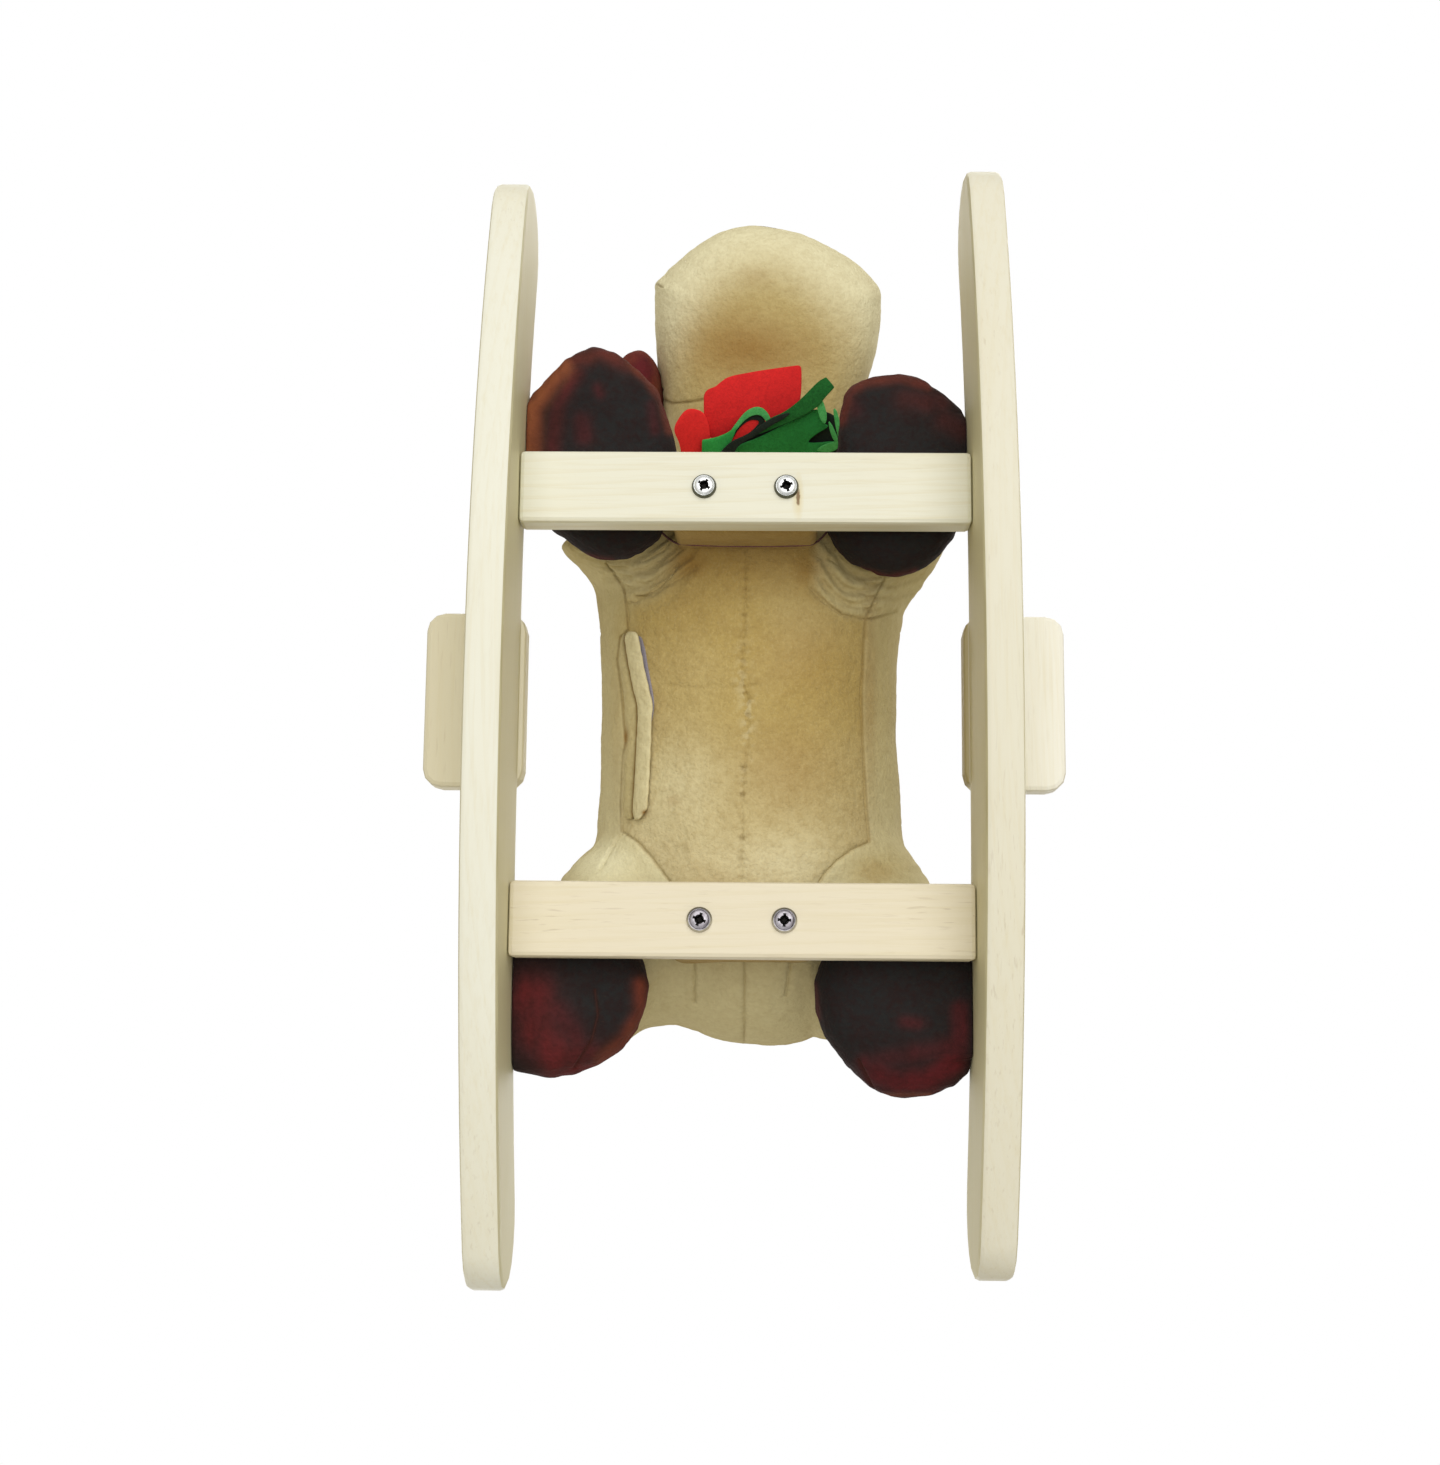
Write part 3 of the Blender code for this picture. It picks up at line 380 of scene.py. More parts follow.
# Painted shade in the screw and bolt recesses
shadedSteel = zincPlate("painted_shade_recess_steel", "#1c1b1b", "#2b2927", 0.55)
creamPlush = shearedPlush("cream")
brownPlush = shearedPlush("brown")
felt = {name: pressedFelt(name, *colours) for name, colours in feltColours.items()}
eyeAcrylic = mouldedEye("moulded_black_acrylic")
lilacLining = wovenLining("woven_lilac_lining")
brownThread = twistedThread("brown_twisted_thread", "#5a3a26", "#3a2316")
plumThread = twistedThread("plum_corded_piping", "#7d5552", "#5f3d3c")
print("materials made")

for name, node in nodes.items():
    finish = boards.get(name, zinc)
    if name.startswith("eye"):
        finish = eyeAcrylic
    elif name.startswith("post_") and "sleeve" not in name or name.startswith("joint_dowel"):
        finish = uprightWood
    node.data.materials.clear()
    node.data.materials.append(finish)

# Geometry nodes that shade a board's curves as one and keep its corners crisp
sharpFrom = math.radians(32)
smoothing = bpy.data.node_groups.new("smooth_curves", "GeometryNodeTree")
for way in ("INPUT", "OUTPUT"):
    smoothing.interface.new_socket("Geometry", in_out=way, socket_type="NodeSocketGeometry")
chain = [
    smoothing.nodes.new(kind) for kind in (
        "NodeGroupInput", "GeometryNodeMergeByDistance", "GeometryNodeSetShadeSmooth",
        "GeometryNodeSetShadeSmooth", "NodeGroupOutput",
    )
]
for before, after in zip(chain, chain[1:]):
    smoothing.links.new(before.outputs[0], after.inputs[0])
chain[1].inputs["Distance"].default_value = 1e-5
chain[3].domain = "EDGE"
chain[3].inputs["Shade Smooth"].default_value = False
bend = smoothing.nodes.new("GeometryNodeInputMeshEdgeAngle")
over = smoothing.nodes.new("FunctionNodeCompare")
over.inputs["B"].default_value = sharpFrom
smoothing.links.new(bend.outputs["Unsigned Angle"], over.inputs["A"])
smoothing.links.new(over.outputs[0], chain[3].inputs["Selection"])
for name in ("rocker_left", "rocker_right"):
    nodes[name].modifiers.new("Smooth curves", "NODES").node_group = smoothing
    nodes[name].modifiers.new("Even shading", "WEIGHTED_NORMAL").keep_sharp = True
print("wood and hidden steel dressed")


# Mesh helpers
def newPiece(name, mesh, material=None):
    made = bpy.data.objects.new(name, mesh)
    scene.collection.objects.link(made)
    if material:
        mesh.materials.clear()
        mesh.materials.append(material)
    return made


def meshFrom(name, build):
    bmesh.ops.recalc_face_normals(build, faces=build.faces)
    mesh = bpy.data.meshes.new(name)
    build.to_mesh(mesh)
    build.free()
    return mesh


def dress(piece, body, replaced=(), material=None, sharp=None):
    # Says what a piece rides on, replaces and is made of
    if material:
        piece.data.materials.clear()
        piece.data.materials.append(material)
    piece.data.shade_smooth()
    if sharp:
        piece.data.set_sharp_from_angle(angle=math.radians(sharp))
    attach(piece, body)
    if replaced:
        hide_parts(*replaced)


def modify(piece, kind, **settings):
    modifier = piece.modifiers.new(kind.title(), kind)
    for key, value in settings.items():
        setattr(modifier, key, value)
    return piece


def bakeModifiers(piece):
    bpy.context.view_layer.update()
    graph = bpy.context.evaluated_depsgraph_get()
    mesh = bpy.data.meshes.new_from_object(piece.evaluated_get(graph), depsgraph=graph)
    piece.modifiers.clear()
    piece.data = mesh
    return piece


def evenMesh(piece, size):
    return bakeModifiers(modify(piece, "REMESH", mode="VOXEL", voxel_size=size))


def finer(piece, levels=1):
    return bakeModifiers(modify(piece, "SUBSURF", levels=levels, render_levels=levels))


def read(data, key, wide, kind=float):
    found = np.zeros(len(data) * wide, kind)
    data.foreach_get(key, found)
    return found.reshape(-1, wide)


def pointsOf(mesh):
    return read(mesh.vertices, "co", 3)


def normalsOf(mesh):
    return read(mesh.vertex_normals, "vector", 3)


def movePoints(mesh, points):
    mesh.vertices.foreach_set("co", np.asarray(points, np.float32).ravel())
    mesh.update()


def treeOf(mesh):
    return BVHTree.FromPolygons([v.co for v in mesh.vertices], [tuple(p.vertices) for p in mesh.polygons])


def bridge(build, loops):
    # Faces between rings of as many points each
    for here, there in zip(loops, loops[1:]):
        for step in range(len(here)):
            after = (step + 1) % len(here)
            build.faces.new((here[step], here[after], there[after], there[step]))


def eased(mesh, times, share=0.5):
    # Each point drawn towards the middle of its neighbours
    points, edges = pointsOf(mesh), read(mesh.edges, "vertices", 2, np.int64)
    count = np.bincount(edges.ravel(), minlength=len(points))[:, None].clip(1)
    for _ in range(times):
        total = np.stack([
            np.bincount(edges[:, 0], points[edges[:, 1], axis], len(points))
            + np.bincount(edges[:, 1], points[edges[:, 0], axis], len(points))
            for axis in range(3)
        ], axis=1)
        points = points + (total / count - points) * share
    movePoints(mesh, points)


def carry(mesh, **values):
    # Writes what the plush reads from a mesh, each value from 0 to 1
    for name in plushValues:
        value = np.broadcast_to(values.get(name, 0.0), len(mesh.vertices)).astype(np.float32)
        mesh.attributes.new(name, "FLOAT", "POINT").data.foreach_set("value", np.clip(value, 0, 1))


def easeIn(value, low, high):
    share = np.clip((value - low) / (high - low), 0, 1)
    return share * share * (3 - 2 * share)


def near(gap, width):
    # 1 where the gap is nothing, fading away over the width
    return np.exp(-((gap / width) ** 2))


def marks(spots, listed):
    # The strongest of some soft marks (pixel, reach across, reach down, amount) at each spot
    found = np.zeros(len(spots))
    for centre, reachX, reachY, amount in listed:
        away = ((spots - centre) / (reachX, reachY)) ** 2
        found = np.maximum(found, np.exp(-away.sum(axis=1)) * amount)
    return found


def noiseAt(places):
    return np.array([noise.noise(Vector(place)) for place in places])


rowShift = 0.032829  # the calf's own middle is this far behind the middle of the footprint
ends = {"front": -1, "rear": 1}
sides = {"left": -1, "right": 1}


# Stuffed forms run through stations (x, y, z, half width, half height), the first and last
# of them the tips, as the model's own solids do. Low and top are how square they are
def stuffedForm(name, stations, ring=12, low=2.0, top=2.0, shift=(0, 0, 0), levels=2):
    shift = Vector(shift) + Vector((0, rowShift, 0))
    middle = [Vector(station[:3]) + shift for station in stations]
    keep = (3 + math.cos(2 * math.pi / ring)) / 4
    build = bmesh.new()
    loops = []
    for index in range(1, len(stations) - 1):
        wide, high = stations[index][3:5]
        ahead = (middle[index + 1] - middle[index - 1]).normalized()
        side = Vector((1, 0, 0))
        side = (side - ahead * side.dot(ahead)).normalized()
        up = side.cross(ahead)
        if up.z < 0:
            up = -up
        loop = []
        for step in range(ring):
            angle = 2 * math.pi * step / ring
            power = 2 / (top if math.sin(angle) >= 0 else low)
            across = math.copysign(abs(math.cos(angle)) ** power, math.cos(angle))
            rise = math.copysign(abs(math.sin(angle)) ** power, math.sin(angle))
            loop.append(build.verts.new(middle[index] + side * across * wide / keep + up * rise * high / keep))
        loops.append(loop)
    first = build.verts.new(middle[0])
    last = build.verts.new(middle[-1])
    for step in range(ring):
        after = (step + 1) % ring
        build.faces.new((first, loops[0][after], loops[0][step]))
        build.faces.new((last, loops[-1][step], loops[-1][after]))
        for here, there in zip(loops, loops[1:]):
            build.faces.new((here[step], here[after], there[after], there[step]))
    return finer(newPiece(name, meshFrom(name, build)), levels)


def joined(name, pieces):
    build = bmesh.new()
    for piece in pieces:
        build.from_mesh(piece.data)
        bpy.data.objects.remove(piece)
    return newPiece(name, meshFrom(name, build))


stuffing = {
    "quality": 5, "mass": 0.3, "tension_stiffness": 15.0, "compression_stiffness": 15.0,
    "bending_stiffness": 0.5, "use_pressure": True,
}
stuffingFrames = 20


def stuffed(piece, settings):
    # Evens a form out and softens it. Then air pressure in a Cloth simulation, which stands for
    # the stuffing, swells the sewn skin up to a cap
    evenMesh(piece, settings["voxel"])
    eased(piece.data, settings["soften"])
    movePoints(piece.data, pointsOf(piece.data) - normalsOf(piece.data) * settings["drawIn"])
    begun = pointsOf(piece.data)
    cloth = piece.modifiers.new("Stuffing", "CLOTH")
    for key, value in stuffing.items():
        setattr(cloth.settings, key, value)
    cloth.settings.uniform_pressure_force = settings["pressure"]
    cloth.settings.effector_weights.gravity = 0
    for step in range(1, stuffingFrames + 1):
        scene.frame_set(step)
    graph = bpy.context.evaluated_depsgraph_get()
    moved = pointsOf(piece.evaluated_get(graph).to_mesh()) - begun
    piece.evaluated_get(graph).to_mesh_clear()
    piece.modifiers.clear()
    length = np.linalg.norm(moved, axis=1)[:, None].clip(1e-9)
    movePoints(piece.data, begun + moved * np.minimum(1, settings["cap"] / length))
    scene.frame_set(1)
    return piece


def linesGap(spots, lines):
    # Distance from each 2D spot to the nearest of some polylines
    best = np.full(len(spots), 1e9)
    for line in lines:
        line = np.array(line, float)
        for start, way in zip(line, np.diff(line, axis=0)):
            share = np.clip((spots - start) @ way / max(way @ way, 1e-12), 0, 1)
            best = np.minimum(best, np.linalg.norm(spots - start - share[:, None] * way, axis=1))
    return best


def insidePolygon(spots, polygon):
    inside = np.zeros(len(spots), bool)
    corners = np.array(polygon, float)
    for a, b in zip(corners, np.roll(corners, -1, axis=0)):
        crosses = (a[1] > spots[:, 1]) != (b[1] > spots[:, 1])
        reach = (b[0] - a[0]) * (spots[:, 1] - a[1]) / ((b[1] - a[1]) or 1e-9) + a[0]
        inside ^= crosses & (spots[:, 0] < reach)
    return inside


def facingCamera(mesh):
    look = pointsOf(mesh) - cameraPlace
    look /= np.linalg.norm(look, axis=1)[:, None]
    return -(normalsOf(mesh) * look).sum(axis=1)


def reachOf(line, centre, angles):
    # How far a line of pixels lies from a centre in each direction, and 0 where it isn't met
    wayX, wayY = np.cos(angles), np.sin(angles)
    found = np.zeros(len(angles))
    line = np.array(line, float) - centre
    for a, side in zip(line, np.diff(line, axis=0)):
        cross = wayX * side[1] - wayY * side[0]
        cross = np.where(np.abs(cross) < 1e-9, 1e-9, cross)
        far = (a[0] * side[1] - a[1] * side[0]) / cross
        share = (a[0] * wayY - a[1] * wayX) / cross
        met = (share >= 0) & (share <= 1) & (far > 0)
        found = np.where(met, np.maximum(found, far), found)
    return found


def lowOnly(grown, points, under):
    # Nothing grows above the two heights given
    if under is None:
        return grown
    return np.where(grown > 1, 1 + (grown - 1) * easeIn(-points[:, 2], -under[1], -under[0]), grown)


def fitToOutline(mesh, line, centre, rounds=3, most=1.35, slots=60, under=None):
    # Draws the edge that the camera sees on to a line given in the photograph's pixels
    middles = (np.arange(slots) + 0.5) / slots * 2 * math.pi - math.pi
    wanted = reachOf(line, centre, middles)
    way = rayOf(*centre)
    for _ in range(rounds):
        points = pointsOf(mesh)
        away = pixelsOf(points) - centre
        angle = np.arctan2(away[:, 1], away[:, 0])
        far = np.linalg.norm(away, axis=1)
        reach = np.full(slots, 1e-6)
        np.maximum.at(reach, ((angle + math.pi) / (2 * math.pi) * slots).astype(int) % slots, far)
        grown = np.where(wanted > 0, np.clip(wanted / reach, 1 / most, most), 1.0)
        grown = np.interp(angle, middles, grown, period=2 * math.pi)
        edge = np.interp(angle, middles, reach, period=2 * math.pi)
        grown = lowOnly(1 + (grown - 1) * np.clip(far / edge * 1.6, 0, 1), points, under)
        core = cameraPlace + way * ((points[:, 2:] - cameraPlace[2]) / way[2])
        points[:, :2] = core[:, :2] + (points[:, :2] - core[:, :2]) * grown[:, None]
        movePoints(mesh, points)


def fitToSides(mesh, lines, middle, under, rounds=4, most=1.2, step=5.0):
    # The same for a form seen between a left and a right edge, row by row down the photograph
    top, bottom = lines[0][0][1], lines[0][-1][1]
    slots = int((bottom - top) / step)
    rows = top + (np.arange(slots) + 0.5) * step
    way = rayOf(middle, (top + bottom) / 2)
    for _ in range(rounds):
        points = pointsOf(mesh)
        across, down = pixelsOf(points).T
        slot = np.clip(((down - top) / step).astype(int), 0, slots - 1)
        inside = (down > top) & (down < bottom)
        fade = easeIn(down, top - 16, top) * easeIn(-down, -bottom - 16, -bottom)
        core = cameraPlace[0] + way[0] * (points[:, 2] - cameraPlace[2]) / way[2]
        for turn, line in zip((-1, 1), lines):
            lineX, lineY = np.array(line, float).T
            out = (across - middle) * turn
            reach = np.full(slots, 1e-6)
            np.maximum.at(reach, slot[inside], out[inside])
            wanted = (np.interp(rows, lineY, lineX) - middle) * turn
            grown = np.interp(down, rows, np.clip(wanted / reach, 1 / most, most))
            edge = np.interp(down, rows, reach)
            grown = lowOnly(1 + (grown - 1) * fade * np.clip(out / edge * 1.5, 0, 1), points, under)
            chosen = out > 0
            points[chosen, 0] = (core + (points[:, 0] - core) * grown)[chosen]
        movePoints(mesh, points)


def refine(piece, chosen):
    # One more cut of the edges whose two ends are chosen
    build = bmesh.new()
    build.from_mesh(piece.data)
    build.verts.ensure_lookup_table()
    edges = [edge for edge in build.edges if chosen[edge.verts[0].index] and chosen[edge.verts[1].index]]
    bmesh.ops.subdivide_edges(build, edges=edges, cuts=1, use_grid_fill=True)
    bmesh.ops.triangulate(build, faces=[face for face in build.faces if len(face.verts) > 4])
    build.to_mesh(piece.data)
    build.free()


def sunk(piece, depth):
    # Presses points in along their normals
    movePoints(piece.data, pointsOf(piece.data) - normalsOf(piece.data) * depth[:, None])


def sewnInPicture(piece, lines, width, depth, reach=5.0):
    # A groove along lines given in the photograph's pixels, on the faces that look at the camera
    for _ in range(2):
        spots = pixelsOf(pointsOf(piece.data))
        refine(piece, (linesGap(spots, lines) < reach) & (facingCamera(piece.data) > 0.05))
        reach *= 0.6
    facing = np.clip((facingCamera(piece.data) - 0.05) * 4, 0, 1)
    share = near(linesGap(pixelsOf(pointsOf(piece.data)), lines), width) * facing
    sunk(piece, share * depth)
    return share


def sewnByPlace(piece, gapOf, width=0.0012, depth=0.0014, reach=0.006):
    # A groove where gapOf, a function of points and normals, gives a distance of nothing
    for _ in range(2):
        refine(piece, gapOf(pointsOf(piece.data), normalsOf(piece.data)) < reach)
        reach *= 0.55
    sunk(piece, near(gapOf(pointsOf(piece.data), normalsOf(piece.data)), width) * depth)


def roughened(piece, *layers):
    # Low lumps of the stuffing and tufts of the pile: (size, height, seed) of each layer
    for size, height, seed in layers:
        sunk(piece, -height * noiseAt(pointsOf(piece.data) / size + (seed, 0, 0)))


def clearOfWood(mesh, boxes):
    # Points inside a board's box go out through the face that is named
    points = pointsOf(mesh)
    for low, high, axis, toHigh in boxes:
        inside = ((points > np.array(low)) & (points < np.array(high))).all(axis=1)
        points[inside, axis] = high[axis] if toHigh else low[axis]
    movePoints(mesh, points)


plushX = 0.002
headX = 0.012
torso = [
    (plushX, 0.184, 0.202),
    (plushX, 0.178, 0.201, 0.042, 0.044),
    (plushX, 0.160, 0.200, 0.074, 0.075),
    (plushX, 0.125, 0.199, 0.089, 0.091),
    (plushX, 0.075, 0.196, 0.089, 0.092),
    (plushX, 0.025, 0.194, 0.088, 0.089),
    (plushX, -0.025, 0.194, 0.088, 0.089),
    (plushX, -0.070, 0.196, 0.090, 0.091),
    (plushX, -0.112, 0.198, 0.089, 0.089),
    (plushX, -0.142, 0.200, 0.074, 0.074),
    (plushX, -0.160, 0.203, 0.046, 0.048),
    (plushX, -0.168, 0.204),
]
neckLine = [
    (plushX, -0.070, 0.196),
    (plushX, -0.092, 0.216, 0.056, 0.056),
    (0.005, -0.132, 0.252, 0.067, 0.070),
    (0.007, -0.168, 0.296, 0.066, 0.072),
    (0.009, -0.194, 0.340, 0.058, 0.062),
    (0.010, -0.214, 0.376, 0.040, 0.042),
    (0.010, -0.224, 0.398),
]
headLine = [
    (0, -0.150, 0.376),
    (0, -0.160, 0.375, 0.044, 0.048),
    (0, -0.190, 0.370, 0.064, 0.072),
    (0, -0.232, 0.361, 0.067, 0.086),
    (0, -0.268, 0.350, 0.070, 0.085),
    (0, -0.300, 0.331, 0.077, 0.068),
    (0, -0.330, 0.323, 0.0775, 0.060),
    (0, -0.353, 0.320, 0.068, 0.049),
    (0, -0.370, 0.318, 0.045, 0.033),
    (0, -0.3789, 0.317),
]
# (x, y, half width, half length, toe out)
feet = {
    ("front", "left"): (-0.0820, -0.1500, 0.0450, 0.0620, 0.001),
    ("front", "right"): (0.0850, -0.1380, 0.0415, 0.0590, 0.004),
    ("rear", "left"): (-0.0880, 0.1535, 0.0395, 0.0465, 0.009),
    ("rear", "right"): (0.0830, 0.1605, 0.0445, 0.0480, 0.004),
}
hips = {"front": (0.118, 0.044), "rear": (0.108, 0.051)}
footMiddle = 0.100
footHalfHeight = 0.032


def legLine(end, side):
    x, y = feet[(end, side)][:2]
    way, out = ends[end], sides[side]
    hipY, hipWide = hips[end]
    return [
        (plushX + out * 0.040, way * (hipY - 0.016), 0.232),
        (plushX + out * 0.050, way * (hipY - 0.012), 0.215, hipWide * 0.66, hipWide * 0.66),
        (plushX + out * 0.061, way * (hipY - 0.006), 0.182, hipWide, hipWide),
        (plushX + out * 0.066, way * (hipY + 0.002), 0.150, hipWide, hipWide * 0.96),
        (x * 0.98, way * 0.006 + y * 0.86, 0.122, 0.031, 0.033),
        (x * 0.98, y * 0.94, 0.099),
    ]


def footLine(end, side):
    x, y, wide, long, toe = feet[(end, side)]
    way, out = ends[end], sides[side]
    toeX, heelX = x + out * toe, x - out * toe * 0.6
    high = footHalfHeight
    return [
        (toeX, y + way * long, footMiddle - 0.004),
        (toeX, y + way * long * 0.92, footMiddle - 0.003, wide * 0.56, high * 0.55),
        (toeX, y + way * long * 0.62, footMiddle - 0.001, wide * 0.92, high * 0.92),
        (x, y, footMiddle, wide, high),
        (heelX, y - way * long * 0.58, footMiddle, wide * 0.90, high * 0.92),
        (heelX, y - way * long * 0.90, footMiddle, wide * 0.54, high * 0.58),
        (heelX, y - way * long, footMiddle),
    ]

footTop = 0.104  # a boot is pressed flat against its rocker up to here
seenUnder = 0.175  # the photograph shows no cream plush above this height


# The plush skin of torso, neck and legs: one sewn piece
bodySet = {
    "voxel": 0.0046,
    "soften": 8,
    "pressure": 4.0,
    "cap": 0.006,
    "drawIn": 0.0035,
    "swellUnder": (0.185, 0.225),
    "seamWidth": 1.5,
    "seamDepth": 0.0016,
    "wrinkleHeight": 0.0013,
    "wrinkleSpacing": 0.0058,
}
# Seams of the underside, in the photograph's pixels
bodySeams = {
    "leftSide": [
        (606, 563), (618, 580), (624, 590), (626.5, 612), (628, 630), (620, 637), (617, 660), (620, 681),
        (622, 702), (623.5, 723), (625.5, 741), (622.5, 757), (621.5, 780), (620.5, 801), (621, 832),
    ],
    "rightSide": [(885, 577), (874, 600), (866, 618), (864, 640), (862, 700), (863, 740), (866, 790),
    (870, 842)],
    "frontLeft": [(628, 602), (645, 596), (658, 588), (668, 578), (678, 566)],
    "frontRight": [(812, 588), (826, 602), (842, 614), (858, 618), (872, 619), (896, 612)],
    "rearLeft": [(621, 831), (636, 841), (650, 857), (668, 880), (684, 905)],
    "rearRight": [(870, 842), (852, 850), (836, 862), (824, 876), (808, 905)],
    "rearLeftFaint": [(620, 834), (609, 850), (600, 868)],
    "rumpMiddle": [(744, 950), (744, 1000), (744, 1046)],
    "rumpLeft": [(694, 950), (694.5, 1002)],
    "rumpRight": [(792, 950), (789, 975), (786, 995)],
}
bodySeamShades = {
    "rearLeftFaint": 0.15, "rumpLeft": 0.25, "rumpRight": 0.25, "rumpMiddle": 0.35, "frontLeft": 0.08,
    "frontRight": 0.42,
    "rearLeft": 0.36, "rearRight": 0.16, "leftSide": 0.60, "rightSide": 0.42,
}
bellyMiddle = [
    (745, 545), (746, 600), (743, 640), (742, 680), (747, 700), (748, 740), (743, 780), (742, 830),
    (740, 885),
]
bellyPanel = [
    (677, 540), (676, 566), (666, 580), (657, 589), (645, 597), (628, 603), (627, 626), (624, 640),
    (623, 700), (626, 745), (623, 800), (621, 831), (636, 841), (650, 857), (668, 880), (700, 930),
    (790, 930), (824, 876), (836, 862), (852, 850), (870, 842), (866, 790), (863, 740), (862, 700),
    (864, 640), (866, 618), (858, 618), (842, 614), (826, 602), (812, 588), (815, 540),
]
bodyOutline = {
    "left": [
        (580, 520), (574, 532), (566, 538), (562.5, 543), (561, 548), (562.5, 553), (565.5, 558), (571, 563),
        (575, 566), (582, 574), (589, 582), (594, 590), (596.5, 600), (598, 614), (600, 630), (601.5, 670),
        (601.5, 760), (601, 790), (598.5, 822), (597, 838), (591, 847), (582, 854), (574, 862), (568, 870),
        (560, 880),
    ],
    "right": [
        (953, 520), (949, 540), (945, 550), (941, 558), (937, 566), (932, 574), (926, 582), (921, 590),
        (915, 598), (907, 606), (903, 614), (901, 630), (899, 646), (897, 670), (896, 700), (896, 735),
        (898, 758), (900, 782), (901, 806), (902, 830), (903, 838), (905, 846), (911, 854), (917, 862),
        (922, 870), (930, 880),
    ],
    "rump": [
        (606, 1046), (614, 1051), (622, 1052.5), (632, 1045), (640, 1038.5), (653, 1031), (662, 1028),
        (671, 1027), (683, 1028.5), (694, 1032), (706, 1036), (719, 1039.5), (744, 1045), (765, 1047),
        (786, 1045), (800, 1042), (811, 1038.5), (820, 1038), (830, 1040), (842, 1042),
    ],
}
bodyCentre = (748, 715)
# Folds of the plush where the feet push the front legs up
foldLines = [
    [(604, 569), (625, 566), (645, 560), (662, 549), (670, 541)],
    [(606, 579), (628, 577), (650, 570), (670, 558), (683, 548)],
    [(622, 589), (644, 586), (664, 575), (690, 558)], [(634, 598), (654, 592), (674, 580), (694, 565)],
    [(830, 558), (845, 571), (868, 583), (895, 587), (922, 578)],
    [(828, 572), (845, 587), (870, 597), (896, 599), (912, 594)],
    [(824, 582), (838, 596), (858, 608), (880, 610)],
]
bellyCrease = [(668, 685), (684, 687), (702, 686.5), (720, 687), (740, 687), (756, 685.5)]
bodyHips = {"front": (-0.112, 0.158, 0.056), "rear": (0.104, 0.158, 0.060)}


def topSeams(points, normals):
    # Along the middle of the back, and over the top of each leg
    middle = np.where(normals[:, 2] > 0.15, np.abs(points[:, 0] - plushX), 1.0)
    for y, z, radius in bodyHips.values():
        far = np.hypot(points[:, 1] - y - rowShift, points[:, 2] - z)
        flank = (points[:, 2] > z - 0.01) & (np.abs(normals[:, 0]) > 0.35) & (normals[:, 2] > -0.15)
        middle = np.minimum(middle, np.where(flank, np.abs(far - radius), 1.0))
    return middle


def facingShare(mesh):
    return np.clip((facingCamera(mesh) - 0.02) * 6, 0, 1)


forms = [
    stuffedForm("torso", torso, 16, 3.2, 2.2),
    stuffedForm("neck_form", neckLine, 12),
    *[stuffedForm("leg", legLine(end, side), 12) for end, side in feet],
]
body = stuffed(joined("plush_body", forms), bodySet)
swell = bodySet["swellUnder"]
bodySides = (bodyOutline["left"], bodyOutline["right"])
fitToOutline(body.data, bodyOutline["rump"], bodyCentre, 3, 1.10, 72, swell)
fitToSides(body.data, bodySides, bodyCentre[0], swell)
eased(body.data, 2)
finer(body)
fitToOutline(body.data, bodyOutline["rump"], bodyCentre, 2, 1.06, 140, swell)
fitToSides(body.data, bodySides, bodyCentre[0], swell, 2, 1.1)
eased(body.data, 1)
sewnByPlace(body, topSeams)
sewnInPicture(body, foldLines, 3.0, 0.0015, 8.0)
sewnInPicture(body, [bellyCrease], 3.0, 0.0006)
sewnInPicture(body, [bellyMiddle], 1.3, 0.0005, 6.0)
sewnInPicture(body, list(bodySeams.values()), bodySet["seamWidth"], bodySet["seamDepth"])
points, normals = pointsOf(body.data), normalsOf(body.data)
spots = pixelsOf(points)

# Wrinkles wind round the front legs where the feet push them up
for side in sides:
    x, y, wide, long, _ = feet[("front", side)]
    centre = np.array((x, y + rowShift, footMiddle))
    far = (np.linalg.norm((points - centre) / (wide, long, footHalfHeight), axis=1) - 1) * 0.045
    wave = noiseAt(points * 34) * 0.7
    share = np.clip(far / 0.004, 0, 1) * np.clip((0.034 - far) / 0.022, 0, 1)
    share *= (points[:, 1] > centre[1] - 0.01) * np.clip((seenUnder - points[:, 2]) / 0.04, 0, 1)
    rise = np.sin(2 * math.pi * (far / bodySet["wrinkleSpacing"] + wave))
    points = points + normals * (rise * share * bodySet["wrinkleHeight"])[:, None]

# Puckers along the middle of the belly, where the stuffing was sewn in by hand
sewing = noiseAt(points * (0, 150, 0) + (0, 0, 6.0)) * 3.0
seamGap = linesGap(spots + np.stack((sewing, sewing * 0), axis=1), [bellyMiddle])
pucker = noiseAt(points * (90, 330, 0) + (0, 0, 3.0))
deep = near(seamGap, 4.0) * facingShare(body.data) * (0.0005 + 0.0014 * np.clip(pucker, -0.3, 1))
movePoints(body.data, points - normals * deep[:, None])
roughened(body, (0.030, 0.0009, 4.0), (0.0045, 0.00035, 9.0))

# The plush is drawn to the root of the tail, where it is sewn on
tailSet = {
    "root": (plushX, 0.144 + rowShift, 0.2885), "rootRadius": 0.0065, "drawn": 0.012, "sunk": 0.0015,
    "voxel": 0.0018,
}
points = pointsOf(body.data)
share = near(np.linalg.norm(points[:, :2] - tailSet["root"][:2], axis=1), tailSet["drawn"])
rootLow = tailSet["root"][2] - tailSet["rootRadius"] + tailSet["sunk"]
points[:, 2] += (rootLow - points[:, 2]) * share * (points[:, 2] > 0.25)
movePoints(body.data, points)

